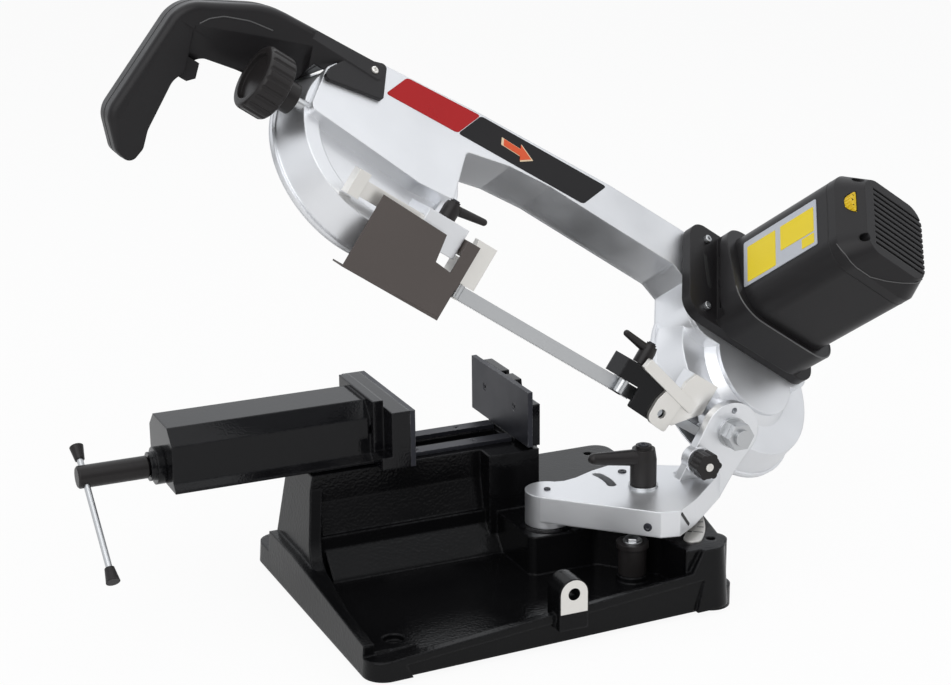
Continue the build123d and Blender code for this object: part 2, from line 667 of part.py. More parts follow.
PLUNGER_KNOB_BACK = EAR_FRONT - 6.0
PLUNGER_KNOB = 15.0
PLUNGER_KNOB_R = 13.0


def plunger_pin():
    """Locking plunger through the ear."""
    return rod_y(PLUNGER_KNOB_BACK - PLUNGER_KNOB + 5, EAR_BACK + 2, PLUNGER_X, PLUNGER_Z, PLUNGER_R)


def plunger_knob():
    """Six-lobed pull knob on the plunger."""
    face = Circle(PLUNGER_KNOB_R - 1.5)
    for index in range(6):
        angle = radians(60 * index)
        face += Pos((PLUNGER_KNOB_R - 3) * cos(angle), (PLUNGER_KNOB_R - 3) * sin(angle)) * Circle(3.4)
    knob = Pos(PLUNGER_X, PLUNGER_KNOB_BACK, PLUNGER_Z) * Rot(90, 0, 0) * extrude(face, PLUNGER_KNOB)
    return knob - rod_y(PLUNGER_KNOB_BACK - PLUNGER_KNOB + 5, EAR_BACK, PLUNGER_X, PLUNGER_Z, PLUNGER_R)


# Bow casting


BAND_LEFT = IDLER_X - WHEEL_R
BEAM_TOP = UPPER_RUN + 36.0
CHANNEL_LOW = UPPER_RUN - 5.5
CHANNEL_HIGH = UPPER_RUN + 8.0
CARRIAGE_HALF = 8.5
CARRIAGE_LENGTH = 60.0
CARRIAGE_W0 = CAVITY_FRONT + 0.8
CARRIAGE_W1 = 25.0
KNOB_X1 = BAND_LEFT - 28.2
KNOB_THICK = 26.0
KNOB_R = 30.0
KNOB_NECK_R = 14.0
TENSION_R = 5.0
TENSION_W = 18.0
IDLER_AXLE_R = 8.5
SHAFT_R = 10.0
DRIVE_SHAFT_END = GEAR_COVER_TOP - 2.0
BEARING_R = 21.0
GEAR_CHAMBER = 17.0
CASE_V0 = 84.0
CASE_V1 = 208.0
CASE_X0 = DRIVE_X - 92.0
CASE_X1 = DRIVE_X + 74.0
HUB_CASE_R = 50.0
FLAT_LOW = UPPER_RUN - 12.0


def band_outline():
    """Beam outline in the bow plane, from the idler's raised band to the drive case."""
    return [
        (BAND_LEFT, WHEEL_R - 8),
        (IDLER_X + 41, WHEEL_R - 19),
        (IDLER_X + 79, WHEEL_R - 15),
        (IDLER_X + 88, 131),
        (IDLER_X + 140, FLAT_LOW - 6),
        (IDLER_X + 190, FLAT_LOW),
        (DRIVE_X - 110, FLAT_LOW),
        (DRIVE_X - 84, FLAT_LOW - 14),
        (DRIVE_X - 50, FLAT_LOW - 14),
        (DRIVE_X - 50, BEAM_TOP + 2),
        (DRIVE_X - 87, BEAM_TOP + 2),
        (IDLER_X + 265, BEAM_TOP),
        (IDLER_X + 100, BEAM_TOP - 14),
        (IDLER_X - 12, BEAM_TOP - 29),
        (IDLER_X - 50, BEAM_TOP - 44),
        (IDLER_X - 72, BEAM_TOP - 72),
    ]


def housing(x, radius, front):
    """Tapered round wheel housing."""
    draft = HOUSING_DRAFT * (front - BOW_BACK) / (BOW_FRONT - BOW_BACK)
    return Pos(x, WHEEL_R, (front + BOW_BACK) / 2) * Cone(radius, radius - draft, front - BOW_BACK)


def housing_rims(w0, w1):
    """Thin flanges at the open edge of the wheel housings."""
    spots = (
        (IDLER_X, IDLER_HOUSING_R),
        (IDLER_X + TENSION_TRAVEL, IDLER_HOUSING_R),
        (DRIVE_X, DRIVE_HOUSING_R),
    )
    return [rod(x, WHEEL_R, radius + RIM_WIDE, w0, w1) for x, radius in spots]


CASE_OUTLINE = [(CASE_X0, CASE_V0), (CASE_X1, CASE_V0), (CASE_X1, CASE_V1), (CASE_X0, CASE_V1)]


def bow_envelope():
    """Outside of the bow casting, before it is hollowed."""
    body = prism(band_outline(), BOW_BACK, BAND_FRONT, 7)
    body += housing(IDLER_X, IDLER_HOUSING_R, BOW_FRONT)
    body += housing(IDLER_X + TENSION_TRAVEL, IDLER_HOUSING_R, BOW_FRONT)
    body += housing(DRIVE_X, DRIVE_HOUSING_R, BOW_FRONT - 2)
    for rim in housing_rims(BOW_BACK, BOW_BACK + RIM_HIGH):
        body += rim
    body += prism(CASE_OUTLINE, BOW_BACK, BAND_FRONT, 28)
    body += Pos(DRIVE_X, WHEEL_R, (BAND_FRONT + BOW_FRONT - 6) / 2) * Cone(
        HUB_CASE_R + 10, HUB_CASE_R, BAND_FRONT - BOW_FRONT + 6
    )
    return body


GUIDE_BAR_Z0 = 150.0
GUIDE_BAR_Z1 = 165.0
GUIDE_BAR_Y0 = -44.0
GUIDE_BAR_Y1 = -36.0
GUIDE_PAD_X0 = IDLER_X + 40.0
GUIDE_PAD_X1 = IDLER_X + 84.0
ARM_FRONT = -43.0
ARM_BACK = -37.0
ARM_PAD_X0 = 162.0
ARM_PAD_X1 = 192.0


def guide_pad():
    """Lip on the bow that the guide bar slides through, in the lowered head's frame."""
    pad = block(GUIDE_PAD_X0, GUIDE_PAD_X1, GUIDE_BAR_Y0 - 4, -6, GUIDE_BAR_Z0 - 6, GUIDE_BAR_Z1 + 8)
    bar = block(
        GUIDE_PAD_X0 - 1,
        GUIDE_PAD_X1 + 1,
        GUIDE_BAR_Y0 - FIT,
        GUIDE_BAR_Y1 + FIT,
        GUIDE_BAR_Z0 - FIT,
        GUIDE_BAR_Z1 + FIT,
    )
    return pad - bar


def hinge_boss():
    """Boss on the drive housing that turns on the hinge pin, in the lowered head's frame."""
    return rod_y(EAR_BACK + SLIP, HINGE_PIN_BACK + 12, HINGE_X, HINGE_Z, HINGE_BOSS_R)


def bow_casting():
    """Aluminium bow: beam, wheel housings, gear chamber, guide pads and hinge boss."""
    bow = bow_envelope()
    recess = rod(IDLER_X + TENSION_TRAVEL / 2, WHEEL_R, 70, BOW_FRONT - PANEL_RECESS, BOW_FRONT + 1)
    bow -= recess - prism(band_outline(), BOW_FRONT - PANEL_RECESS - 1, BAND_FRONT)
    bow += to_bow(guide_pad())
    arm_pad = block(ARM_PAD_X0, ARM_PAD_X1, ARM_BACK, -16, BLADE_Z + 16, BLADE_Z + 46)
    bow += to_bow(arm_pad)
    bow += to_bow(hinge_boss())

    cavity_r = WHEEL_R + CAVITY_GAP
    back = BOW_BACK - 30
    cavity = rod(IDLER_X, WHEEL_R, cavity_r, back, CAVITY_FRONT)
    cavity += rod(IDLER_X + TENSION_TRAVEL, WHEEL_R, cavity_r, back, CAVITY_FRONT)
    cavity += rod(DRIVE_X, WHEEL_R, cavity_r + 1, back, CAVITY_FRONT)
    cavity += block(IDLER_X, DRIVE_X, CHANNEL_LOW, CHANNEL_HIGH, back, CAVITY_FRONT)
    for x0, x1 in ((IDLER_X + 20, IDLER_X + 66), (DRIVE_X - 72, DRIVE_X - 20)):
        cavity += block(x0, x1, -20, 9, back, CAVITY_FRONT)
    bow -= cavity
    pocket_left = IDLER_X - CARRIAGE_LENGTH / 2 - SLIP
    pocket_right = IDLER_X + CARRIAGE_LENGTH / 2 + TENSION_TRAVEL + SLIP
    bow -= block(
        pocket_left,
        pocket_right,
        WHEEL_R - CARRIAGE_HALF - FIT,
        WHEEL_R + CARRIAGE_HALF + FIT,
        CAVITY_FRONT - 1,
        CARRIAGE_W1 + FIT,
    )
    bow -= rod_x(BAND_LEFT - 40, pocket_left + 1, WHEEL_R, TENSION_W, TENSION_R + FIT)

    low_wheel = gear_tip(LOW_WHEEL_TEETH, LOW_MODULE, -PINION_SHIFT)
    low_pinion = gear_tip(LOW_PINION_TEETH, LOW_MODULE, PINION_SHIFT)
    chamber = rod(DRIVE_X, WHEEL_R, low_wheel + 2, GEAR_CHAMBER, BAND_FRONT + 1)
    chamber += rod(*SECOND_AXIS, low_pinion + 2, GEAR_CHAMBER, BAND_FRONT + 1)
    bow -= chamber
    bow -= rod(DRIVE_X, WHEEL_R, BEARING_R, CAVITY_FRONT - 1, GEAR_CHAMBER + 1)
    bow -= rod(*SECOND_AXIS, SECOND_R + FIT, CAVITY_FRONT + 2, GEAR_CHAMBER + 1)
    bow -= to_bow(rod_y(EAR_BACK - 5, HINGE_PIN_BACK + SLIP, HINGE_X, HINGE_Z, HINGE_PIN_R + FIT))
    bow -= to_bow(rod(LEFT_LEVER_X, GUIDE_MID_Y, LEVER_STUD_R, GUIDE_BAR_Z1, GUIDE_BAR_Z1 + 9))
    return bow


def rear_cover():
    """Sheet cover over the wheels and the upper run."""
    back = BOW_BACK - COVER_THICK
    cover = prism(band_outline(), back, BOW_BACK, 7)
    for rim in housing_rims(back, BOW_BACK):
        cover += rim
    cover += prism(CASE_OUTLINE, back, BOW_BACK, 28)
    return cover


COVER_SCREWS = [
    (IDLER_X + 120, BEAM_TOP - 21),
    (IDLER_X + 230, BEAM_TOP - 12),
    (DRIVE_X - 76, BEAM_TOP - 6),
    (DRIVE_X + 60, CASE_V1 - 24),
    (IDLER_X + 74, WHEEL_R + 62),
]
COVER_SCREW_R = 5.0


def cover_screws():
    """Button heads that hold the rear cover."""
    back = BOW_BACK - COVER_THICK
    return [rod(x, v, COVER_SCREW_R, back - 3, back) for x, v in COVER_SCREWS]


# Blade and wheels


TWIST_LEFT = (IDLER_X + 48.0, GUIDE_PAD_X1 + 16.0)
TWIST_RIGHT = (DRIVE_X - 54.0, DRIVE_X - 132.6)
TWIST_STEPS = 3


def blade_section(x, turn):
    """Blade section at x, its back edge turned up by turn degrees."""
    angle = radians(turn)
    plane = Plane(origin=(x, -BLADE_THICK / 2, 0), x_dir=(0, sin(angle), cos(angle)), z_dir=(1, 0, 0))
    return plane * Rectangle(BLADE_WIDTH, BLADE_THICK)


def twist(start, end):
    """Stretch where the blade turns upright between start and end."""
    sections = []
    for step in range(TWIST_STEPS + 1):
        share = step / TWIST_STEPS
        sections.append(blade_section(start + (end - start) * share, BOW_TILT * share))
    return loft(sections, ruled=True)


def blade():
    """Endless blade round both wheels, turned upright between the guides."""
    half = BLADE_WIDTH / 2
    size = 2 * WHEEL_R
    ring = rod(0, 0, WHEEL_R + BLADE_THICK, -half, half) - rod(0, 0, WHEEL_R, -half, half)
    loop = Pos(IDLER_X, WHEEL_R, 0) * (ring & block(-size, 0, -size, size, -size, size))
    loop += Pos(DRIVE_X, WHEEL_R, 0) * (ring & block(0, size, -size, size, -size, size))
    loop += block(IDLER_X, DRIVE_X, UPPER_RUN, UPPER_RUN + BLADE_THICK, -half, half)
    loop += block(IDLER_X, TWIST_LEFT[0], -BLADE_THICK, 0, -half, half)
    loop += block(TWIST_RIGHT[0], DRIVE_X, -BLADE_THICK, 0, -half, half)
    loop += twist(*TWIST_LEFT)
    loop += twist(*TWIST_RIGHT)
    loop += extrude(blade_section(TWIST_LEFT[1], BOW_TILT), TWIST_RIGHT[1] - TWIST_LEFT[1], dir=(1, 0, 0))
    return loop


def band_wheel(x, bore):
    """Flanged wheel that carries the blade."""
    half = BLADE_WIDTH / 2
    rim = WHEEL_R - SLIP
    wheel = rod(0, 0, rim, -half - 1, half + 2.3) - rod(0, 0, rim - 7, -half - 2, half + 4)
    wheel += rod(0, 0, FLANGE_R, half + 0.5, half + 2.3) - rod(0, 0, rim - 7, -half, half + 4)
    wheel += rod(0, 0, rim - 6, -3, 3)
    wheel += rod(0, 0, bore + 12, -half - 1, half + 2.3)
    for index in range(6):
        angle = radians(60 * index)
        wheel -= rod(48 * cos(angle), 48 * sin(angle), 13, -10, 10)
    wheel -= rod(0, 0, bore, -half - 5, half + 5)
    return Pos(x, WHEEL_R, 0) * wheel


def drive_shaft():
    """Wheel shaft from the drive wheel into the gear chamber, with an end washer."""
    end = -BLADE_WIDTH / 2 - 1
    shaft = rod(DRIVE_X, WHEEL_R, SHAFT_R, end, DRIVE_SHAFT_END)
    shaft += rod(DRIVE_X, WHEEL_R, SHAFT_R + 5, end - 2.5, end)
    return shaft


def idler_axle():
    """Axle fixed in the tension carriage, with an end washer."""
    end = -BLADE_WIDTH / 2 - 1 - SLIP
    axle = rod(IDLER_X, WHEEL_R, IDLER_AXLE_R, end, CARRIAGE_W1 - 1)
    axle += rod(IDLER_X, WHEEL_R, IDLER_AXLE_R + 5, end - 2.5, end)
    return axle


def tension_slide():
    """Carriage that pulls the idler axle along the bow."""
    half = CARRIAGE_LENGTH / 2
    low = WHEEL_R - CARRIAGE_HALF
    carriage = block(IDLER_X - half, IDLER_X + half, low, low + 2 * CARRIAGE_HALF, CARRIAGE_W0, CARRIAGE_W1)
    carriage -= rod(IDLER_X, WHEEL_R, IDLER_AXLE_R, CARRIAGE_W0 - 1, CARRIAGE_W1 - 1)
    return carriage - rod_x(IDLER_X - half - 1, IDLER_X - 10, WHEEL_R, TENSION_W, TENSION_R + FIT)


def tension_screw():
    """Screw from the tension knob into the carriage."""
    return rod_x(KNOB_X1 - KNOB_THICK + 6, IDLER_X - 16, WHEEL_R, TENSION_W, TENSION_R)


def tension_knob():
    """Dished fluted hand knob with its neck."""
    neck_end = BAND_LEFT - 12 - SLIP
    knob = rod_x(KNOB_X1 - KNOB_THICK, KNOB_X1, 0, 0, KNOB_R)
    knob = fillet(knob.edges().filter_by(GeomType.CIRCLE), 4)
    flute = rod_x(KNOB_X1 - KNOB_THICK - 1, KNOB_X1 + 1, KNOB_R + 1.2, 0, 2.6)
    for index in range(20):
        knob -= Rot(18 * index, 0, 0) * flute
    knob -= rod_x(KNOB_X1 - KNOB_THICK - 1, KNOB_X1 - KNOB_THICK + 4, 0, 0, KNOB_R - 8)
    knob += rod_x(KNOB_X1, neck_end, 0, 0, KNOB_NECK_R)
    return Pos(0, WHEEL_R, TENSION_W) * knob - tension_screw()


# Gears and motor


LOW_WHEEL_TEETH = 44
LOW_PINION_TEETH = 12
LOW_MODULE = 1.75
MID_WHEEL_TEETH = 48
MID_PINION_TEETH = 12
MID_MODULE = 1.25
HIGH_WHEEL_TEETH = 50
HIGH_PINION_TEETH = 9
HIGH_MODULE = 1.0
FIRST_TURN = -25.0
FIRST_R = 5.0
SECOND_R = 6.0
ROTOR_SHAFT_R = 6.0


def centre_distance(module, teeth_a, teeth_b):
    return module * (teeth_a + teeth_b) / 2


def first_axis():
    """Axis of the first gear shaft, beside the motor axis."""
    reach = centre_distance(HIGH_MODULE, HIGH_PINION_TEETH, HIGH_WHEEL_TEETH)
    turn = radians(FIRST_TURN)
    return (MOTOR_X + reach * cos(turn), MOTOR_V + reach * sin(turn))


def second_axis():
    """Axis of the second gear shaft, in mesh with the first shaft and the drive gear."""
    ax, av = first_axis()
    from_first = centre_distance(MID_MODULE, MID_PINION_TEETH, MID_WHEEL_TEETH)
    from_drive = centre_distance(LOW_MODULE, LOW_PINION_TEETH, LOW_WHEEL_TEETH)
    dx = ax - DRIVE_X
    dv = av - WHEEL_R
    span = hypot(dx, dv)
    along = (from_drive**2 - from_first**2 + span**2) / (2 * span)
    aside = sqrt(from_drive**2 - along**2)
    return (DRIVE_X + (along * dx - aside * dv) / span, WHEEL_R + (along * dv + aside * dx) / span)


FIRST_AXIS = first_axis()
SECOND_AXIS = second_axis()


def involute(angle):
    return tan(angle) - angle


def gear_tip(teeth, module, shift):
    """Tip radius of a gear with the given addendum shift."""
    return module * (teeth / 2 + 0.95 + shift)


def gear(axis, teeth, module, shift, w0, w1, tooth_angle):
    """Spur gear with involute flanks and one tooth centred on tooth_angle."""
    pitch_r = module * teeth / 2
    base_r = pitch_r * cos(PRESSURE)
    tip_r = gear_tip(teeth, module, shift)
    root_r = pitch_r - module * (1.25 - shift)
    half = (pi / 2 + 2 * shift * tan(PRESSURE)) / teeth - BACKLASH / (2 * pitch_r)
    start_r = max(root_r, base_r)
    radii = sorted({root_r, start_r, (start_r + tip_r) / 2, tip_r})
    points = []
    for tooth in range(teeth):
        mid = tooth_angle + 2 * pi * tooth / teeth
        side = []
        for r in radii:
            spread = half + involute(PRESSURE) - involute(acos(min(1.0, base_r / max(r, base_r))))
            side.append((r, spread))
        points += [(r * cos(mid - spread), r * sin(mid - spread)) for r, spread in side]
        points += [(r * cos(mid + spread), r * sin(mid + spread)) for r, spread in reversed(side)]
    return Pos(*axis) * prism(points, w0, w1)


def bearing_angle(start, end):
    """Direction from one axis to another, in radians."""
    return atan2(end[1] - start[1], end[0] - start[0])


def gap_angle(teeth, angle):
    """Tooth angle that puts a gap at the given angle."""
    return angle + pi / teeth


DRIVE_AXIS = (DRIVE_X, WHEEL_R)
MOTOR_AXIS = (MOTOR_X, MOTOR_V)
LOW_W0 = GEAR_CHAMBER + 1.5
LOW_W1 = BAND_FRONT - 2.5
MID_W0 = GEAR_COVER_TOP + 2.0
MID_W1 = GEAR_COVER_TOP + 10.0
HIGH_W0 = GEAR_COVER_TOP + 12.5
HIGH_W1 = GEAR_COVER_TOP + 18.5
GEARBOX_WALL = 5.0
SHAFT_END = GEARBOX_TOP - 1.5


def drive_gear():
    """Large gear on the wheel shaft."""
    tooth = gap_angle(LOW_WHEEL_TEETH, bearing_angle(DRIVE_AXIS, SECOND_AXIS))
    wheel = gear(DRIVE_AXIS, LOW_WHEEL_TEETH, LOW_MODULE, -PINION_SHIFT, LOW_W0, LOW_W1, tooth)
    return wheel - rod(*DRIVE_AXIS, SHAFT_R, LOW_W0 - 1, LOW_W1 + 1)


def second_gear_shaft():
    """Shaft with the pinion for the drive gear and the wheel for the first shaft."""
    low_tooth = bearing_angle(SECOND_AXIS, DRIVE_AXIS)
    mid_tooth = gap_angle(MID_WHEEL_TEETH, bearing_angle(SECOND_AXIS, FIRST_AXIS))
    shaft = rod(*SECOND_AXIS, SECOND_R, CAVITY_FRONT + 2.5, SHAFT_END)
    low = (LOW_W0 - 0.5, LOW_W1 + 0.5)
    shaft += gear(SECOND_AXIS, LOW_PINION_TEETH, LOW_MODULE, PINION_SHIFT, *low, low_tooth)
    shaft += gear(SECOND_AXIS, MID_WHEEL_TEETH, MID_MODULE, -PINION_SHIFT, MID_W0, MID_W1, mid_tooth)
    return shaft


def first_gear_shaft():
    """Shaft with the pinion for the second shaft and the wheel for the motor pinion."""
    mid_tooth = bearing_angle(FIRST_AXIS, SECOND_AXIS)
    high_tooth = gap_angle(HIGH_WHEEL_TEETH, bearing_angle(FIRST_AXIS, MOTOR_AXIS))
    shaft = rod(*FIRST_AXIS, FIRST_R, BAND_FRONT + 1.5, SHAFT_END)
    mid = (MID_W0 - 0.5, MID_W1 + 0.5)
    shaft += gear(FIRST_AXIS, MID_PINION_TEETH, MID_MODULE, PINION_SHIFT, *mid, mid_tooth)
    shaft += gear(FIRST_AXIS, HIGH_WHEEL_TEETH, HIGH_MODULE, -PINION_SHIFT, HIGH_W0, HIGH_W1, high_tooth)
    return shaft


ROTOR_W0 = GEARBOX_TOP + 24.0
ROTOR_W1 = MOTOR_TOP - 30.0
MOTOR_BEARING_R = 13.0


def motor_rotor():
    """Rotor with its shaft and the motor pinion."""
    tooth = bearing_angle(MOTOR_AXIS, FIRST_AXIS)
    rotor = rod(*MOTOR_AXIS, ROTOR_SHAFT_R, GEARBOX_TOP - GEARBOX_WALL, MOTOR_TOP + 1)
    rotor += rod(*MOTOR_AXIS, ROTOR_R, ROTOR_W0, ROTOR_W1)
    rotor += rod(*MOTOR_AXIS, 17, ROTOR_W1 + 6, ROTOR_W1 + 22)
    high = (HIGH_W0 - 1, GEARBOX_TOP - GEARBOX_WALL)
    pinion = gear(MOTOR_AXIS, HIGH_PINION_TEETH, HIGH_MODULE, PINION_SHIFT, *high, tooth)
    return rotor + pinion


def motor_stator():
    """Field ring held in the motor housing."""
    core = rod(*MOTOR_AXIS, STATOR_R, ROTOR_W0, ROTOR_W1)
    return core - rod(*MOTOR_AXIS, ROTOR_R + 1, ROTOR_W0 - 1, ROTOR_W1 + 1)


def bearing(axis, inner, outer, w0, w1):
    return rod(*axis, outer, w0, w1) - rod(*axis, inner + FIT, w0 - 1, w1 + 1)


def head_bearings():
    """Shaft bearings of the drive wheel and the motor."""
    return [
        bearing(DRIVE_AXIS, SHAFT_R, BEARING_R, CAVITY_FRONT, GEAR_CHAMBER),
        bearing(MOTOR_AXIS, ROTOR_SHAFT_R, MOTOR_BEARING_R, GEARBOX_TOP - GEARBOX_WALL, GEARBOX_TOP),
        bearing(MOTOR_AXIS, ROTOR_SHAFT_R, MOTOR_BEARING_R, MOTOR_TOP - 6, MOTOR_TOP),
    ]


def square(half, corner, w0, w1):
    """Rounded square about the motor axis."""
    return Pos(*MOTOR_AXIS, w0) * extrude(RectangleRounded(2 * half, 2 * half, corner), w1 - w0)


def gear_cover():
    """Cast plate between the bow's gear chamber and the gearbox."""
    plate = prism(CASE_OUTLINE, BAND_FRONT, GEAR_COVER_TOP, 28)
    plate += rod(*DRIVE_AXIS, HUB_CASE_R, BAND_FRONT, GEAR_COVER_TOP)
    plate -= rod(*DRIVE_AXIS, SHAFT_R + FIT, BAND_FRONT - 1, DRIVE_SHAFT_END + SLIP)
    plate -= rod(*SECOND_AXIS, SECOND_R + FIT, BAND_FRONT - 1, GEAR_COVER_TOP + 1)
    return plate - rod(*FIRST_AXIS, FIRST_R + FIT, BAND_FRONT + 1, GEAR_COVER_TOP + 1)


FLANGE_X0 = CASE_X0 - 10.0
FLANGE_TOP = GEAR_COVER_TOP + 11.0


SKIRT_SIDE = MOTOR_HALF + 12.0
SKIRT_RISE = MOTOR_HALF + 7.0
SKIRT_TOP = 84.0
SKIRT_SLOPE = 0.18
NECK_X = MOTOR_X - MOTOR_HALF - 3.6
NECK_TOP = FLANGE_TOP + 12.0
NECK_SLOTS = ((-38, -10), (0, 28))


def gearbox_housing():
    """Black gearbox moulding between the gear cover and the motor, with a collar round the motor's foot."""
    flange_x1 = CASE_X1 - 4
    flange = [(FLANGE_X0, CASE_V0 + 10), (flange_x1, CASE_V0 + 6), (flange_x1, CASE_V1), (FLANGE_X0, CASE_V1)]
    box = prism(flange, GEAR_COVER_TOP, FLANGE_TOP, 20)
    low = MOTOR_V - SKIRT_RISE
    span = 2 * SKIRT_RISE
    section = [
        (low, FLANGE_TOP),
        (low + span, FLANGE_TOP),
        (low + span, SKIRT_TOP - SKIRT_SLOPE * span),
        (low, SKIRT_TOP),
    ]
    plan = RectangleRounded(2 * SKIRT_SIDE, span, MOTOR_CORNER + 6)
    collar = Pos(*MOTOR_AXIS, FLANGE_TOP) * extrude(plan, SKIRT_TOP)
    box += collar & sideways(section, MOTOR_X - 2 * MOTOR_HALF, MOTOR_X + 2 * MOTOR_HALF)
    box -= block(NECK_X - 20, NECK_X, low + 12, low + span + 1, FLANGE_TOP, NECK_TOP)
    for v0, v1 in NECK_SLOTS:
        box -= block(NECK_X - 1, NECK_X + 3, MOTOR_V + v0, MOTOR_V + v1, FLANGE_TOP + 3, NECK_TOP - 3)
    box -= square(MOTOR_HALF + FIT, MOTOR_CORNER + FIT, GEARBOX_TOP, SKIRT_TOP + 1)
    inner = GEARBOX_TOP - GEARBOX_WALL
    box -= rod(*FIRST_AXIS, gear_tip(HIGH_WHEEL_TEETH, HIGH_MODULE, 0) + 3, GEAR_COVER_TOP - 1, inner)
    box -= rod(*SECOND_AXIS, gear_tip(MID_WHEEL_TEETH, MID_MODULE, 0) + 3, GEAR_COVER_TOP - 1, inner)
    box -= rod(*MOTOR_AXIS, MOTOR_BEARING_R, GEAR_COVER_TOP - 1, GEARBOX_TOP + 1)
    for axis, r in ((FIRST_AXIS, FIRST_R), (SECOND_AXIS, SECOND_R)):
        box -= rod(*axis, r + FIT, inner - 1, SHAFT_END + SLIP)
    return box


CAP_SHOULDER = MOTOR_TOP + 10.0
CAP_SHIFT = 4.0
CAP_END_X = 82.0
CAP_END_V = 90.0
DIAL_R = 14.0
DIAL_W0 = CAP_SHOULDER + 7.0
DIAL_W1 = DIAL_W0 + 8.0
DIAL_AXIS = (MOTOR_X - MOTOR_HALF + 19, MOTOR_V + 10)
DIAL_STUB_R = 3.0


def motor_housing():
    """Motor barrel of rounded square section."""
    barrel = square(MOTOR_HALF, MOTOR_CORNER, GEARBOX_TOP, MOTOR_TOP)
    barrel -= rod(*MOTOR_AXIS, STATOR_R, GEARBOX_TOP + 4, MOTOR_TOP - 6)
    barrel -= rod(*MOTOR_AXIS, MOTOR_BEARING_R, MOTOR_TOP - 7, MOTOR_TOP + 1)
    return barrel - rod(*MOTOR_AXIS, MOTOR_BEARING_R + 3, GEARBOX_TOP - 1, GEARBOX_TOP + 5)


def speed_dial():
    """Thumb wheel for the blade speed, in the end cap's bevel."""
    dial = rod(*DIAL_AXIS, DIAL_R, DIAL_W0, DIAL_W1)
    for index in range(24):
        angle = 2 * pi * index / 24
        x = DIAL_AXIS[0] + DIAL_R * cos(angle)
        v = DIAL_AXIS[1] + DIAL_R * sin(angle)
        dial -= rod(x, v, 0.7, DIAL_W0 - 1, DIAL_W1 + 1)
    return dial + rod(*DIAL_AXIS, DIAL_STUB_R, DIAL_W0 - 5, DIAL_W0)


VENT_COUNT = 11
VENT_PITCH = 6.6
VENT_WIDTH = 2.8
VENT_LENGTH = 72.0
CAP_WELLS = ((-38, 40), (-37, -33))
CAP_WELL_R = 4.2


def motor_end_cap():
    """Bevelled end cap with vent slots, two screw wells and a pocket for the dial."""
    cap = square(MOTOR_HALF, MOTOR_CORNER, MOTOR_TOP, CAP_SHOULDER)
    cap += loft([
        Pos(*MOTOR_AXIS, CAP_SHOULDER) * RectangleRounded(2 * MOTOR_HALF, 2 * MOTOR_HALF, MOTOR_CORNER),
        Pos(MOTOR_X + CAP_SHIFT, MOTOR_V, END_CAP_TOP)
        * RectangleRounded(CAP_END_X, CAP_END_V, MOTOR_CORNER - 6),
    ])
    cap -= rod(*MOTOR_AXIS, STATOR_R - 16, MOTOR_TOP - 1, END_CAP_TOP - 5)
    vent_right = MOTOR_X + CAP_SHIFT + CAP_END_X / 2 + 2
    for index in range(VENT_COUNT):
        v = MOTOR_V + VENT_PITCH * (index - (VENT_COUNT - 1) / 2)
        cap -= Pos(vent_right - VENT_LENGTH / 2, v, END_CAP_TOP) * Box(VENT_LENGTH, VENT_WIDTH, 14)
    for off_x, off_v in CAP_WELLS:
        cap -= rod(MOTOR_X + off_x, MOTOR_V + off_v, CAP_WELL_R, DIAL_W0, END_CAP_TOP + 1)
    cap -= rod(*DIAL_AXIS, DIAL_R + SLIP, DIAL_W0 - SLIP, DIAL_W1 + SLIP)
    return cap - rod(*DIAL_AXIS, DIAL_STUB_R + FIT, DIAL_W0 - 6, DIAL_W0)


# Blade guides


LEVER_STUD_R = 3.0
LEFT_LEVER_X = (GUIDE_PAD_X0 + GUIDE_PAD_X1) / 2
GUIDE_MID_Y = (GUIDE_BAR_Y0 + GUIDE_BAR_Y1) / 2
BAR_LEFT = GUIDE_PAD_X0 - 75.0
BAR_RIGHT = GUIDE_PAD_X1 + 15.0
ROLLER_R = 5.0
ROLLER_BORE = 2.0
ROLLER_Z0 = BLADE_Z - 6.0
ROLLER_Z1 = BLADE_Z + 7.0
ROLLER_GAP = ROLLER_R + BLADE_THICK / 2 + SLIP
STRIP_Y = BLADE_Y - BLADE_THICK / 2 * cos(TILT)
LEFT_ROLLER_X = BAR_RIGHT + 12.0
RIGHT_ROLLER_X = DRIVE_X - 150.6
BLOCK_Z0 = ROLLER_Z1 + SLIP
BLOCK_Z1 = 149.0
GUARD_THICK = 1.5


def roller_pins(x):
    """Two pins that carry a pair of guide rollers."""
    pins = []
    for side in (-1, 1):
        y = STRIP_Y + side * ROLLER_GAP
        pins.append(rod(x, y, ROLLER_BORE, ROLLER_Z0 - 1.5, BLOCK_Z0 + 1))
        pins.append(rod(x, y, ROLLER_BORE + 1.4, ROLLER_Z0 - 1.5, ROLLER_Z0 - SLIP))
    return pins


def roller(x, side):
    """Guide roller beside the blade."""
    y = STRIP_Y + side * ROLLER_GAP
    bore = rod(x, y, ROLLER_BORE + FIT, ROLLER_Z0 - 1, ROLLER_Z1 + 1)
    return rod(x, y, ROLLER_R, ROLLER_Z0, ROLLER_Z1) - bore


def guide_bar():
    """Flat bar of the adjustable guide, with its end stop."""
    bar = block(BAR_LEFT, BAR_RIGHT, GUIDE_BAR_Y0, GUIDE_BAR_Y1, GUIDE_BAR_Z0, GUIDE_BAR_Z1)
    stop_z = (GUIDE_BAR_Z0 - 3, GUIDE_BAR_Z1 + 6)
    return bar + block(BAR_LEFT, BAR_LEFT + 12, GUIDE_BAR_Y0 - 3, GUIDE_BAR_Y1 + 2, *stop_z)


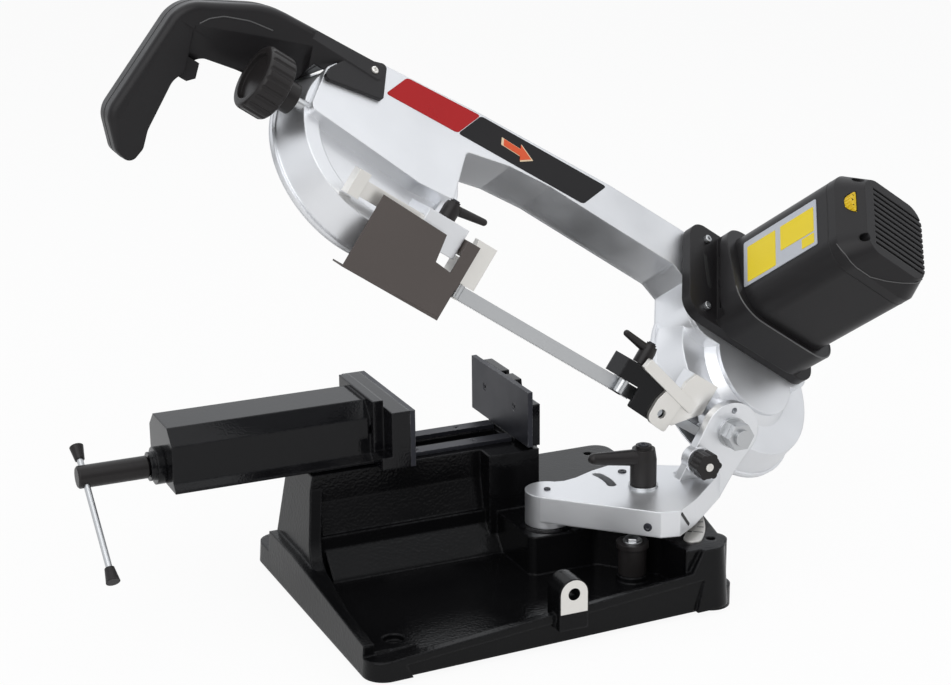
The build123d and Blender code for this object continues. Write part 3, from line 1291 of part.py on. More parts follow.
def guide_block():
    """Block on the bar's right end that carries the left rollers."""
    right = LEFT_ROLLER_X + 9
    body = block(BAR_RIGHT, right, GUIDE_BAR_Y0, GUIDE_BAR_Y1 + 24, BLOCK_Z0, BLOCK_Z1)
    body += block(BAR_RIGHT, right, GUIDE_BAR_Y0, GUIDE_BAR_Y1, BLOCK_Z0, GUIDE_BAR_Z1 + 6)
    for pin in roller_pins(LEFT_ROLLER_X):
        body += pin
    return body


def blade_guard():
    """Folded sheet guard in front of the bar and the blade."""
    front = GUIDE_BAR_Y0 - 10
    left = BAR_LEFT + 28
    right = BAR_RIGHT - 1
    low = BLADE_Z - 31
    outline = [
        (left, low),
        (right, low + 3),
        (right, BLADE_Z + 10),
        (right - 30, BLADE_Z + 13),
        (right - 34, GUIDE_BAR_Z0 + 10),
        (left, GUIDE_BAR_Z0 + 12),
    ]
    sheet = upright(outline, front, front + GUARD_THICK)
    sheet += block(left, right, front, front + 24, low, low + GUARD_THICK)
    sheet += block(right - GUARD_THICK, right, front, GUIDE_BAR_Y0 + 4, low, BLADE_Z + 10)
    foot_left = GUIDE_PAD_X1 + 2
    sheet += block(foot_left, BAR_RIGHT, front, GUIDE_BAR_Y0, GUIDE_BAR_Z0 + 2, GUIDE_BAR_Z1)
    return sheet + block(foot_left, BAR_RIGHT, front, front + GUARD_THICK, BLADE_Z, GUIDE_BAR_Z1)


def left_guide_lever():
    """Clamp lever of the adjustable guide."""
    base = GUIDE_BAR_Z1 + 8 + SLIP
    knob = Pos(LEFT_LEVER_X, GUIDE_MID_Y, base) * Rot(0, 0, 180) * lever(8, 14, 34, 4, 0.5, 1)
    return knob + rod(LEFT_LEVER_X, GUIDE_MID_Y, LEVER_STUD_R - FIT, GUIDE_BAR_Z1 + FIT + 0.3, base + 4)


PLATE_FRONT = ARM_FRONT + 3.0
PLATE_RIGHT = ARM_PAD_X0 - 6.0
EYE_X = 148.0
EYE_Z = BLADE_Z - 3.0
EYE_HOLE_R = 4.5


def right_guide_bracket():
    """Dark fixed plate with the right rollers, bolted to the drive housing."""
    x0 = RIGHT_ROLLER_X - 12
    body = block(x0, RIGHT_ROLLER_X + 20, PLATE_FRONT, ARM_FRONT + 30, BLOCK_Z0, BLOCK_Z1)
    for pin in roller_pins(RIGHT_ROLLER_X):
        body += pin
    plate = [
        (RIGHT_ROLLER_X + 14, BLOCK_Z0 - 20),
        (PLATE_RIGHT, BLADE_Z - 15),
        (PLATE_RIGHT, BLOCK_Z1),
        (RIGHT_ROLLER_X + 14, BLOCK_Z1),
    ]
    body += upright(plate, PLATE_FRONT, ARM_BACK, 2)
    body -= rod_y(ARM_FRONT - 5, ARM_BACK + 1, EYE_X, EYE_Z, EYE_HOLE_R)
    return body - rod(RIGHT_LEVER_X, RIGHT_LEVER_Y, LEVER_STUD_R, BLOCK_Z1 - 8, BLOCK_Z1 + 1)


def right_guide_bar():
    """Bright sloping bar from the fixed plate to the drive housing's pad, with an eye below it."""
    bar_left = (RIGHT_ROLLER_X + 4, BLADE_Z + 31)
    bar_right = (ARM_PAD_X0 + 12, BLADE_Z + 16)
    half = 5.5
    outline = [
        (bar_left[0], bar_left[1] - half),
        (bar_right[0], bar_right[1] - half),
        (bar_right[0] + 2, bar_right[1] + half),
        (bar_left[0] + 2, bar_left[1] + half),
    ]
    bar = upright(outline, ARM_FRONT - 3, PLATE_FRONT, 1.2)
    root = [
        (PLATE_RIGHT + FIT, BLADE_Z - 8),
        (ARM_PAD_X0 + 4, BLADE_Z - 8),
        (ARM_PAD_X1 - 2, BLADE_Z + 16),
        (ARM_PAD_X1 - 2, BLADE_Z + 46),
        (ARM_PAD_X0, BLADE_Z + 46),
        (PLATE_RIGHT + FIT, BLADE_Z + 34),
    ]
    bar += upright(root, PLATE_FRONT - 1, ARM_BACK)
    eye = [
        (EYE_X - 12, EYE_Z - 12, 9),
        (EYE_X + 13, EYE_Z - 14, 3),
        (EYE_X + 15, EYE_Z + 18, 0.5),
        (EYE_X - 8, EYE_Z + 22, 0.5),
        (EYE_X - 12, EYE_Z + 10, 6),
    ]
    front_view = Plane(origin=(0, PLATE_FRONT, 0), x_dir=(1, 0, 0), z_dir=(0, -1, 0))
    bar += front_view.location * rounded(eye, 0, PLATE_FRONT - ARM_FRONT + 1)
    return bar - rod_y(ARM_FRONT - 5, PLATE_FRONT + 1, EYE_X, EYE_Z, EYE_HOLE_R)


RIGHT_LEVER_X = RIGHT_ROLLER_X + 9.0
RIGHT_LEVER_Y = ARM_FRONT + 15.0


def right_guide_lever():
    """Clamp lever of the fixed guide."""
    base = BLOCK_Z1 + SLIP
    knob = Pos(RIGHT_LEVER_X, RIGHT_LEVER_Y, base) * lever(8, 20, 30, 4, 0.5, 1)
    return knob + rod(RIGHT_LEVER_X, RIGHT_LEVER_Y, LEVER_STUD_R - FIT, BLOCK_Z1 - 7, base + 4)


# Handle


HANDLE_Y0 = 50.0
HANDLE_Y1 = 86.0
HANDLE_SPLIT = (HANDLE_Y0 + HANDLE_Y1) / 2
HANDLE = [
    (-228, 262, 3),
    (-352, 254, 80),
    (-424, 216, 34),
    (-431, 102, 22),
    (-406, 77, 11),
    (-389, 74, 8),
    (-386, 91, 10),
    (-391, 107, 20),
    (-394, 154, 18),
    (-381, 184, 14),
    (-346, 191, 60),
    (-300, 196, 90),
    (-228, 210, 3),
]
TRIGGER_X0 = -397.0
TRIGGER_X1 = -376.0
TRIGGER_Z0 = 160.0
TRIGGER_Z1 = 179.0
TRIGGER_HALF = 8.0
TRIGGER_TRAVEL = 5.0


def handle_half(front):
    """One moulded half of the handle, in the lowered head's frame."""
    front_view = Plane(origin=(0, HANDLE_Y1, 0), x_dir=(1, 0, 0), z_dir=(0, -1, 0))
    grip = front_view.location * rounded(HANDLE, 0, HANDLE_Y1 - HANDLE_Y0)
    sides = grip.faces().filter_by(Axis.Y)
    grip = fillet(sides.edges(), 7)
    envelope = prism(band_outline(), BOW_BACK - COVER_THICK - 4, BAND_FRONT, 7)
    envelope += rod(IDLER_X, WHEEL_R, IDLER_HOUSING_R + RIM_WIDE + FIT, BOW_BACK - COVER_THICK - 4, BOW_FRONT)
    grip -= from_bow(envelope)
    grip -= from_bow(block(IDLER_X - 94, IDLER_X + 20, 0, 300, BAND_FRONT + 5, 140))
    grip -= block(
        TRIGGER_X0 - TRIGGER_TRAVEL - SLIP,
        TRIGGER_X1 + 2,
        HANDLE_SPLIT - TRIGGER_HALF - SLIP,
        HANDLE_SPLIT + TRIGGER_HALF + SLIP,
        TRIGGER_Z0 - SLIP,
        TRIGGER_Z1 + SLIP,
    )
    keep = block(-600, 0, HANDLE_Y0 - 60, HANDLE_SPLIT, 0, 500)
    if not front:
        return grip - keep
    cheek = [
        (IDLER_X - 12, 126),
        (IDLER_X - 13, BEAM_TOP - 31),
        (IDLER_X - 50, BEAM_TOP - 46),
        (IDLER_X - 71, BEAM_TOP - 74),
        (IDLER_X - 76, 110),
    ]
    return (grip + from_bow(prism(cheek, BAND_FRONT, BAND_FRONT + 4, 4))) & keep


def trigger():
    """Switch trigger in the grip."""
    outline = [
        (TRIGGER_X0, TRIGGER_Z0),
        (TRIGGER_X1 - 6, TRIGGER_Z0),
        (TRIGGER_X1, TRIGGER_Z0 + 6),
        (TRIGGER_X1 - 4, TRIGGER_Z1),
        (TRIGGER_X0, TRIGGER_Z1),
    ]
    return upright(outline, HANDLE_SPLIT - TRIGGER_HALF, HANDLE_SPLIT + TRIGGER_HALF)


# Fasteners


def base_screws():
    """Rail screws and fixed jaw screws."""
    screws = []
    for y in (RAIL_NEAR_Y, RAIL_FAR_Y):
        screws += [rod(x, y + RAIL_WIDTH / 2, 3.0, BED_Z, RAIL_TOP - 0.2) for x in RAIL_SCREWS]
    for y in JAW_SCREW_Y:
        screws.append(rod_x(JAW_FACE_X + 0.3, JAW_BACK_X + JAW_WEB, y, JAW_SCREW_Z, JAW_SCREW_R))
    return screws


def moving_jaw_screws():
    """Screws that hold the moving jaw plate."""
    face = JAW_REAR_X + JAW_PLATE
    return [rod_x(SLIDE_RIGHT + 10, face - 0.3, y, JAW_SCREW_Z, JAW_SCREW_R) for y in JAW_SCREW_Y]


def casing_screws():
    """Cap screws of the gear cover."""
    inset = 12
    spots = [(CASE_X0 + inset, CASE_V1 - 16), (CASE_X0 + inset, CASE_V0 + 24)]
    return [rod(x, v, 4.0, FLANGE_TOP, FLANGE_TOP + 4) for x, v in spots]


PARTS = {
    "base_casting": base_casting(),
    "bed_rails": bed_rails(),
    "base_screws": base_screws(),
    "fixed_jaw": fixed_jaw(),
    "fixed_jaw_plate": jaw_plate(JAW_FACE_X),
    "vise_nut": vise_nut(),
    "mitre_stop_post": mitre_stop_post(),
    "mitre_scale": mitre_scale(),
    "swivel_pin": swivel_pin(),
    "vise_slide": vise_slide(),
    "moving_jaw_plate": jaw_plate(JAW_REAR_X),
    "moving_jaw_screws": moving_jaw_screws(),
    "vise_bush": vise_bush(),
    "vise_screw": vise_screw(),
    "vise_tbar": vise_tbar(),
    "vise_tbar_knobs": vise_tbar_knobs(),
    "swivel_bracket": swivel_bracket(),
    "hinge_pin": hinge_pin(),
    "hinge_nut": hinge_nut(),
    "lock_stud": lock_stud(),
    "swivel_lever": swivel_lever(),
    "plunger_pin": plunger_pin(),
    "plunger_knob": plunger_knob(),
    "bow_casting": bow_part(bow_casting()),
    "rear_cover": bow_part(rear_cover()),
    "cover_screws": [bow_part(screw) for screw in cover_screws()],
    "blade": bow_part(blade()),
    "drive_wheel": bow_part(band_wheel(DRIVE_X, SHAFT_R)),
    "drive_shaft": bow_part(drive_shaft()),
    "drive_gear": bow_part(drive_gear()),
    "second_gear_shaft": bow_part(second_gear_shaft()),
    "first_gear_shaft": bow_part(first_gear_shaft()),
    "motor_rotor": bow_part(motor_rotor()),
    "motor_stator": bow_part(motor_stator()),
    "head_bearings": [bow_part(ring) for ring in head_bearings()],
    "gear_cover": bow_part(gear_cover()),
    "gearbox_housing": bow_part(gearbox_housing()),
    "motor_housing": bow_part(motor_housing()),
    "motor_end_cap": bow_part(motor_end_cap()),
    "speed_dial": bow_part(speed_dial()),
    "casing_screws": [bow_part(screw) for screw in casing_screws()],
    "idler_wheel": bow_part(band_wheel(IDLER_X, IDLER_AXLE_R + FIT)),
    "idler_axle": bow_part(idler_axle()),
    "tension_slide": bow_part(tension_slide()),
    "tension_screw": bow_part(tension_screw()),
    "tension_knob": bow_part(tension_knob()),
    "guide_bar": raised(guide_bar()),
    "guide_block": raised(guide_block()),
    "blade_guard": raised(blade_guard()),
    "left_roller_front": raised(roller(LEFT_ROLLER_X, -1)),
    "left_roller_back": raised(roller(LEFT_ROLLER_X, 1)),
    "right_roller_front": raised(roller(RIGHT_ROLLER_X, -1)),
    "right_roller_back": raised(roller(RIGHT_ROLLER_X, 1)),
    "left_guide_lever": raised(left_guide_lever()),
    "right_guide_bracket": raised(right_guide_bracket()),
    "right_guide_bar": raised(right_guide_bar()),
    "right_guide_lever": raised(right_guide_lever()),
    "handle_front_half": raised(handle_half(True)),
    "handle_back_half": raised(handle_half(False)),
    "trigger": raised(trigger()),
}

os.makedirs("parts", exist_ok=True)
for name, shape in PARTS.items():
    solid = Compound(children=shape) if isinstance(shape, list) else shape
    export_step(solid, f"parts/{name}.step")
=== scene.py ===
"""Finishes, small fittings and studio for a bench-mounted metal cutting band saw."""

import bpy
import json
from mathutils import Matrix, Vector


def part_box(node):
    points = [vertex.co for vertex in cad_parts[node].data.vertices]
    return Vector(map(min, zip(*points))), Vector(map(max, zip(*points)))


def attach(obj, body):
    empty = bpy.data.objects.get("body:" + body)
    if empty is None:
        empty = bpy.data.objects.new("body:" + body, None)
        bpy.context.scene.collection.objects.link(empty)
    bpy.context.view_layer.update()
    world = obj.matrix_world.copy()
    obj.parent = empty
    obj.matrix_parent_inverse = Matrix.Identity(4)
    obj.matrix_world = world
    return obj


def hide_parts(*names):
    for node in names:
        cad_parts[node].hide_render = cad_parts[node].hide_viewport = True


bl_info = {
    "name": "Metal Cutting Band Saw",
    "version": (1, 0, 0),
    "blender": (4, 5, 0),
    "location": "View3D > Sidebar > Band Saw",
    "description": "Dresses the band saw's castings, fits its small parts and sets the studio",
    "category": "Object",
}

import json
from math import cos, pi, radians, sin

import bmesh
import bpy
from bpy.props import FloatProperty, FloatVectorProperty, IntProperty, PointerProperty
from mathutils import Matrix, Vector

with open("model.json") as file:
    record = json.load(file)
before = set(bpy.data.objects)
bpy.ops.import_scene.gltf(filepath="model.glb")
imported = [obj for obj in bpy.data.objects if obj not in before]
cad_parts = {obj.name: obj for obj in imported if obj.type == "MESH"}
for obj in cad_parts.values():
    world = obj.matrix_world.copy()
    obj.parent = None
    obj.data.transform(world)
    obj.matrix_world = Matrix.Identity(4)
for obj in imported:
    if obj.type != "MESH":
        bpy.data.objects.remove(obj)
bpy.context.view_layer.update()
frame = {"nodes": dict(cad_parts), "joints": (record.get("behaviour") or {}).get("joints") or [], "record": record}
JOINTS = {joint["name"]: joint for joint in frame["joints"]}
MOUNTS = {mount["name"]: mount for mount in frame["record"]["mounts"]}
IN_PLACE = Matrix()
MM = 0.001


def at(*point):
    """Place that only moves."""
    return Matrix.Translation(point)


def facing(point, direction):
    """Place whose z axis runs along direction at point."""
    turn = Vector(direction).to_track_quat("Z", "Y").to_matrix().to_4x4()
    return Matrix.Translation(Vector(point)) @ turn


def joint_point(name, axes=IN_PLACE):
    """Point of a joint, in the given axes."""
    return axes.inverted() @ Vector(JOINTS[name]["pos_m"])


def above(joint, rise, axes=IN_PLACE):
    """Place at a height over a joint's point, in the given axes."""
    return axes @ Matrix.Translation(joint_point(joint, axes)) @ at(0.0, 0.0, rise)


# Axes of the head, level at the end of the cut, and of the bow, whose wheels stand at 45 degrees to the cut
HINGE = joint_point("head_tilt")
HEAD_LIFT = radians(-JOINTS["head_tilt"]["range_deg"][0])
HEAD = Matrix.Translation(HINGE) @ Matrix.Rotation(HEAD_LIFT, 4, "Y") @ Matrix.Translation(-HINGE)
BLADE_LINE = Vector((0.0, -0.027, 0.122))
BOW = HEAD @ Matrix.Translation(BLADE_LINE) @ Matrix.Rotation(radians(45), 4, "X")

# Places from the frame, in metres, with the wheels and the motor in the bow's axes
DRIVE_X, WHEEL_R, _ = joint_point("drive_turn", BOW)
IDLER_X = joint_point("idler_turn", BOW).x
MOTOR_AXIS = joint_point("rotor_turn", BOW)
SWIVEL = joint_point("swivel_turn")
SCALE_END = int(JOINTS["swivel_turn"]["range_deg"][1])
SCALE_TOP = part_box("mitre_scale")[1].z
RAIL_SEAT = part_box("bed_rails")[0].z
STOP_BORE = MOUNTS["stop_rod_bore"]
LUG_BORE = STOP_BORE["dims"]["r_mm"] * MM
LUG_HALF = STOP_BORE["dims"]["length_mm"] * MM / 2
LUG = Vector(STOP_BORE["pos_m"]) + LUG_HALF * Vector(STOP_BORE["axis"])

# Other places and sizes of the castings, in metres
BAND_FRONT = 0.030
MOTOR_HALF = 0.055
MOTOR_CORNER = 0.025
CAP_SEAM = 0.186
FLANGE_TOP = 0.045
DECK_TOP = 0.098
SCALE_ZERO = radians(-35.4)
LUG_R = 0.014
POST = (0.091, -0.098, 0.063)
JAW_SCREW_Y = (0.04744, 0.11556)
JAW_SCREW_Z = 0.1565
HANDLE_FRONT = 0.050
HANDLE_SPLIT = 0.068
COVER_BACK = -0.0145


def colour(name, description, default):
    """Colour property of a finish."""
    return FloatVectorProperty(
        name=name, description=description, default=default, subtype="COLOR", size=3, min=0.0, max=1.0
    )


def length(name, description, default):
    """Length property in metres."""
    return FloatProperty(name=name, description=description, default=default, unit="LENGTH", precision=5)


def rotation(name, description, degrees):
    """Angle property, given in degrees."""
    return FloatProperty(name=name, description=description, default=radians(degrees), subtype="ANGLE")


class SawColours(bpy.types.PropertyGroup):
    """Colours of the saw's finishes."""

    aluminium: colour("Cast aluminium", "Bow, swivel bracket and gear cover", (0.83, 0.84, 0.86))
    sheet: colour("Cover sheet", "Rear cover", (0.70, 0.71, 0.73))
    base_coat: colour("Base coat", "Powder coat of the base", (0.0045, 0.0045, 0.005))
    vise_coat: colour("Vise coat", "Textured coat of the vise", (0.005, 0.005, 0.006))
    plastic: colour("Black plastic", "Motor, gearbox and handle", (0.017, 0.016, 0.017))
    knob: colour("Knob plastic", "Knobs and levers", (0.018, 0.016, 0.016))
    guard: colour("Guard paint", "Sheet guard", (0.092, 0.078, 0.072))
    zinc: colour("Zinc plate", "Guide bar, guide block and small fittings", (0.84, 0.82, 0.78))
    steel: colour("Bright steel", "Pins, nuts and blade", (0.56, 0.57, 0.58))
    jaw_steel: colour("Jaw steel", "Jaw plates and bed rails", (0.034, 0.035, 0.044))
    dial: colour("Dial yellow", "Speed dial", (0.83, 0.56, 0.01))
    plate: colour("Plate grey", "Plate on the motor", (0.50, 0.52, 0.56))
    panel: colour("Panel yellow", "Plain panels on the motor plate", (0.86, 0.66, 0.01))
    band_red: colour("Band red", "Plain block on the beam", (0.42, 0.010, 0.012))
    band_black: colour("Band black", "Plain band on the beam", (0.010, 0.009, 0.010))
    arrow: colour("Arrow red", "Running direction arrow", (0.72, 0.10, 0.03))
    arrow_rim: colour("Arrow rim", "Rim of the running direction arrow", (0.78, 0.62, 0.42))
    copper: colour("Copper", "Motor winding", (0.55, 0.24, 0.12))
    # Lighter than the black plastic, so the raised creases carry a painted highlight
    seam: colour("Crease grey", "Raised creases of the mouldings", (0.10, 0.10, 0.10))
    # Darker than the black plastic: painted shade in the seams and at the slot
    recess: colour("Recess black", "Seams and slots of the mouldings", (0.006, 0.006, 0.006))
    floor: colour("Floor", "Studio floor", (0.90, 0.90, 0.90))


class SawSizes(bpy.types.PropertyGroup):
    """Sizes of the fittings that are added to the castings."""

    sticker: length("Film thickness", "Thickness of the plain films on the beam", 0.0003)
    film_corner: length("Film corner", "Corner radius of the films", 0.004)
    plate: length("Plate thickness", "Thickness of the motor plate", 0.0008)
    tooth_pitch: length("Tooth pitch", "Spacing of the blade teeth", 0.0018)
    tooth_height: length("Tooth height", "Height of the blade teeth", 0.0012)
    screw_head: length("Screw head", "Height of the small screw heads", 0.0018)
    seam: length("Seam width", "Width of the moulding seams", 0.0008)
    mark: length("Mark thickness", "Thickness of dial and scale marks", 0.0003)
    scale_step: IntProperty(
        name="Scale step", description="Degrees between scale marks", default=5, min=1, max=45
    )


class SawStudio(bpy.types.PropertyGroup):
    """Camera of the studio."""

    azimuth: rotation("Camera azimuth", "Turn of the camera round the saw", 23.84)
    elevation: rotation("Camera elevation", "Height angle of the camera", 17.16)
    roll: rotation("Camera roll", "Roll of the camera", -0.54)
    distance: length("Camera distance", "From the target to the camera", 1.926)
    target: FloatVectorProperty(
        name="Camera target",
        description="Point that the camera looks at",
        default=(-0.015, 0.016, 0.237),
        subtype="TRANSLATION",
        size=3,
    )
    lens: FloatProperty(name="Lens", description="Focal length in millimetres", default=78.8, min=10.0)


# Modelling helpers

MERGE = 0.000005
SMOOTH_BELOW = 35
UPWARD = 0.9
FILM_ROUNDING = 5
SHAVE_WIDE = 0.06
SHAVE_TALL = 0.05
NUMERAL_DEPTH = 0.00012
NUMERAL_BOLD = 0.04
# Shares of a screw's own sizes
SOCKET_RIM = 0.12
BOLT_RIM = 0.1
WASHER_RIM = 0.25
PAN_RIM = 0.45
CROSS_LONG = 1.25
CROSS_WIDE = 0.3
CROSS_LEVEL = 0.9


def clear_selection():
    """Object mode with nothing selected."""
    if bpy.context.object and bpy.context.object.mode != "OBJECT":
        bpy.ops.object.mode_set(mode="OBJECT")
    bpy.ops.object.select_all(action="DESELECT")


def choose(obj):
    """Selects one object and makes it active."""
    clear_selection()
    obj.select_set(True)
    bpy.context.view_layer.objects.active = obj


def added(operator, **settings):
    """Object that an operator adds, with nothing else selected."""
    clear_selection()
    operator(**settings)
    return bpy.context.object


def edit(obj):
    """Edit mode on one object, with all of it selected."""
    choose(obj)
    bpy.ops.object.mode_set(mode="EDIT")
    bpy.ops.mesh.select_all(action="SELECT")


def leave_edit():
    """Object mode again, with the edited object still chosen."""
    bpy.ops.object.mode_set(mode="OBJECT")


def select_faces(obj, chosen):
    """Selects the faces that pass a test, in edit mode."""
    mesh = bmesh.from_edit_mesh(obj.data)
    for face in mesh.faces:
        face.select_set(chosen(face))
    bmesh.update_edit_mesh(obj.data)


def settle(obj, place):
    """Puts a piece in its place and keeps that in its mesh."""
    choose(obj)
    obj.matrix_world = place @ obj.matrix_world
    bpy.ops.object.transform_apply(location=True, rotation=True, scale=True)


def apply_modifier(obj, kind, **settings):
    """Adds one modifier and applies it."""
    choose(obj)
    bpy.ops.object.modifier_add(type=kind)
    modifier = obj.modifiers[-1]
    for key, value in settings.items():
        setattr(modifier, key, value)
    bpy.ops.object.modifier_apply(modifier=modifier.name)


def join(objects):
    """One piece from several meshes."""
    choose(objects[0])
    for obj in objects:
        obj.select_set(True)
    bpy.ops.object.join()
    return bpy.context.object


def copy_at(obj, place):
    """Copy with its own mesh, moved by place."""
    twin = obj.copy()
    twin.data = obj.data.copy()
    bpy.context.scene.collection.objects.link(twin)
    settle(twin, place)
    return twin


def spread(pattern, places):
    """Copies of one pattern at many places, joined in one piece."""
    copies = [copy_at(pattern, place) for place in places]
    bpy.data.objects.remove(pattern)
    return join(copies)


def smooth(obj, degrees=SMOOTH_BELOW):
    """Smooth shading below an angle."""
    choose(obj)
    bpy.ops.object.shade_smooth_by_angle(angle=radians(degrees))


def fit(obj, name, body, key):
    """Names a piece, gives it its finish and hangs it on its body."""
    obj.name = name
    obj.data.name = name
    obj.data.materials.clear()
    obj.data.materials.append(FINISHES[key])
    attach(obj, body)


def placed(obj, name, place, body, key):
    """Puts a piece in its place and fits it."""
    settle(obj, place)
    fit(obj, name, body, key)


def finished(obj, name, place, body, key):
    """Puts a piece in its place, smooths it and fits it."""
    settle(obj, place)
    smooth(obj)
    fit(obj, name, body, key)


def box_outline(x0, x1, y0, y1):
    """Corners of a rectangle."""
    return [(x0, y0), (x1, y0), (x1, y1), (x0, y1)]


def film(corners, thickness, corner=0.0):
    """Thin plate over an outline in the plane z = 0, with rounded corners."""
    obj = added(bpy.ops.mesh.primitive_circle_add, vertices=len(corners), radius=1.0, fill_type="NGON")
    for vertex, (x, y) in zip(obj.data.vertices, corners):
        vertex.co = (x, y, 0.0)
    edit(obj)
    bpy.ops.mesh.normals_make_consistent(inside=False)
    if corner:
        bpy.ops.mesh.bevel(offset=corner, segments=FILM_ROUNDING, affect="VERTICES")
        bpy.ops.mesh.select_all(action="SELECT")
    bpy.ops.mesh.extrude_region_move(TRANSFORM_OT_translate={"value": (0.0, 0.0, thickness)})
    bpy.ops.mesh.select_all(action="SELECT")
    bpy.ops.mesh.normals_make_consistent(inside=False)
    leave_edit()
    return obj


def rounded(centre, half, radius, steps=8):
    """Outline of a rounded rectangle."""
    points = []
    for turn, (side, end) in enumerate(((1, 1), (-1, 1), (-1, -1), (1, -1))):
        x = centre[0] + side * (half[0] - radius)
        y = centre[1] + end * (half[1] - radius)
        for step in range(steps + 1):
            angle = pi / 2 * (turn + step / steps)
            points.append((x + radius * cos(angle), y + radius * sin(angle)))
    return points


def between(points, parts=3):
    """Path with each stretch split in equal parts."""
    dense = []
    for start, end in zip(points, points[1:]):
        dense += [Vector(start).lerp(Vector(end), step / parts) for step in range(parts)]
    return dense + [Vector(points[-1])]


def bead(points, radius, closed=False):
    """Round bead along a smooth path."""
    obj = added(bpy.ops.curve.primitive_nurbs_path_add)
    path = obj.data.splines[0]
    path.points.add(len(points) - len(path.points))
    for knot, point in zip(path.points, points):
        knot.co = (*point, 1.0)
    path.order_u = 3
    path.use_endpoint_u = not closed
    path.use_cyclic_u = closed
    path.resolution_u = 4
    obj.data.bevel_depth = radius
    obj.data.bevel_resolution = 2
    obj.data.use_fill_caps = True
    bpy.ops.object.convert(target="MESH")
    return bpy.context.object


def merged_copy(node):
    """Copy of a node with its points merged."""
    source = frame["nodes"][node]
    obj = bpy.data.objects.new(node, source.data.copy())
    obj.matrix_world = source.matrix_world
    bpy.context.scene.collection.objects.link(obj)
    edit(obj)
    bpy.ops.mesh.remove_doubles(threshold=MERGE)
    leave_edit()
    return obj


def edge_bead(node, chosen, radius):
    """Round bead along the outline of the chosen faces of a node."""
    obj = merged_copy(node)
    edit(obj)
    bpy.ops.mesh.select_mode(type="FACE")
    select_faces(obj, chosen)
    bpy.ops.mesh.region_to_loop()
    bpy.ops.mesh.select_all(action="INVERT")
    bpy.ops.mesh.delete(type="EDGE")
    bpy.ops.mesh.delete_loose(use_verts=True, use_edges=False, use_faces=False)
    leave_edit()
    bpy.ops.object.convert(target="CURVE")
    outline = bpy.context.object.data
    outline.bevel_depth = radius
    outline.bevel_resolution = 1
    bpy.ops.object.convert(target="MESH")
    return bpy.context.object


def numeral(text, height, place):
    """Flat raised figure on a dial or scale."""
    figure = added(bpy.ops.object.text_add).data
    figure.body = text
    figure.size = height
    figure.align_x = "CENTER"
    figure.align_y = "CENTER"
    figure.extrude = NUMERAL_DEPTH
    figure.offset = NUMERAL_BOLD * height
    bpy.ops.object.convert(target="MESH")
    obj = bpy.context.object
    settle(obj, place)
    return obj


def round_bar(radius, height, rim, sides=28):
    """Upright round head on z = 0 with a broken top edge."""
    middle = (0, 0, height / 2)
    obj = added(
        bpy.ops.mesh.primitive_cylinder_add, vertices=sides, radius=radius, depth=height, location=middle
    )
    bpy.ops.object.transform_apply(location=True, rotation=True, scale=True)
    edit(obj)
    select_faces(obj, lambda face: face.normal.z > UPWARD)
    bpy.ops.mesh.bevel(offset=rim, segments=3, affect="EDGES")
    leave_edit()
    return obj


def cut(obj, tool):
    """Takes a tool's shape out of a piece."""
    apply_modifier(obj, "BOOLEAN", operation="DIFFERENCE", object=tool, solver="EXACT")
    bpy.data.objects.remove(tool)
    return obj


def shave(obj, corner, along, across, reach, place):
    """Cuts off what stands out of the plane through a corner, from 0 to reach along it."""
    along = Vector(along).normalized()
    across = Vector(across)
    across = (across - across.dot(along) * along).normalized()
    out = across.cross(along)
    middle = Vector(corner) + along * reach / 2 + across * SHAVE_WIDE / 2 + out * SHAVE_TALL / 2
    turn = Matrix((across, along, out)).transposed().to_4x4()
    size = Matrix.Diagonal((SHAVE_WIDE, reach, SHAVE_TALL, 1.0))
    tool = added(bpy.ops.mesh.primitive_cube_add, size=1.0)
    tool.matrix_world = place @ Matrix.Translation(middle) @ turn @ size
    cut(obj, tool)


def socket_screw(radius, height, key, deep):
    """Screw with a hexagon socket of the given depth, standing on z = 0."""
    head = round_bar(radius, height, SOCKET_RIM * radius)
    top = (0, 0, height)
    tool = added(bpy.ops.mesh.primitive_cylinder_add, vertices=6, radius=key, depth=2 * deep, location=top)
    return cut(head, tool)


def hexagon_bolt(across, height, washer, thick):
    """Hexagon head on a round washer, standing on z = 0."""
    head = round_bar(across, height, BOLT_RIM * across, sides=6)
    settle(head, at(0.0, 0.0, thick))
    return join([round_bar(washer, thick, WASHER_RIM * thick, sides=36), head])


def cross_screw(radius, height):
    """Pan head with a cross recess, standing on z = 0."""
    head = round_bar(radius, height, PAN_RIM * height)
    level = (0, 0, CROSS_LEVEL * height)
    for turn in (0.0, pi / 2):
        tool = added(bpy.ops.mesh.primitive_cube_add, size=1.0, location=level, rotation=(0, 0, turn))
        tool.scale = (CROSS_LONG * radius, CROSS_WIDE * radius, height)
        cut(head, tool)
    return head


# Materials

EDGE_RISE = (0.995, 0.86)
EDGE_KEEP = (0.42, 0.62)
SHADE_RANGE = (0.3, 0.7)
GROUPS = {}
FINISHES = {}


def add_node(tree, kind, **settings):
    """Shader node with plain settings and socket values."""
    node = tree.nodes.new(kind)
    for key, value in settings.items():
        if key in node.inputs:
            node.inputs[key].default_value = value
        else:
            setattr(node, key, value)
    return node


def remap(tree, source, target=(0.0, 1.0)):
    """Map Range node from one range of values to another."""
    node = tree.nodes.new("ShaderNodeMapRange")
    for label, value in zip(("From Min", "From Max", "To Min", "To Max"), (*source, *target)):
        node.inputs[label].default_value = value
    return node


def colour_mix(tree):
    """Colour mix node with its two colour inputs and its colour output."""
    node = add_node(tree, "ShaderNodeMix", data_type="RGBA")
    first, second = (s for s in node.inputs if s.type == "RGBA")
    return node, first, second, next(s for s in node.outputs if s.type == "RGBA")


def wire(tree, *links):
    """Links between outputs and inputs, each given as node, output, node, input."""
    for start, out, end, into in links:
        tree.links.new(start.outputs[out], end.inputs[into])


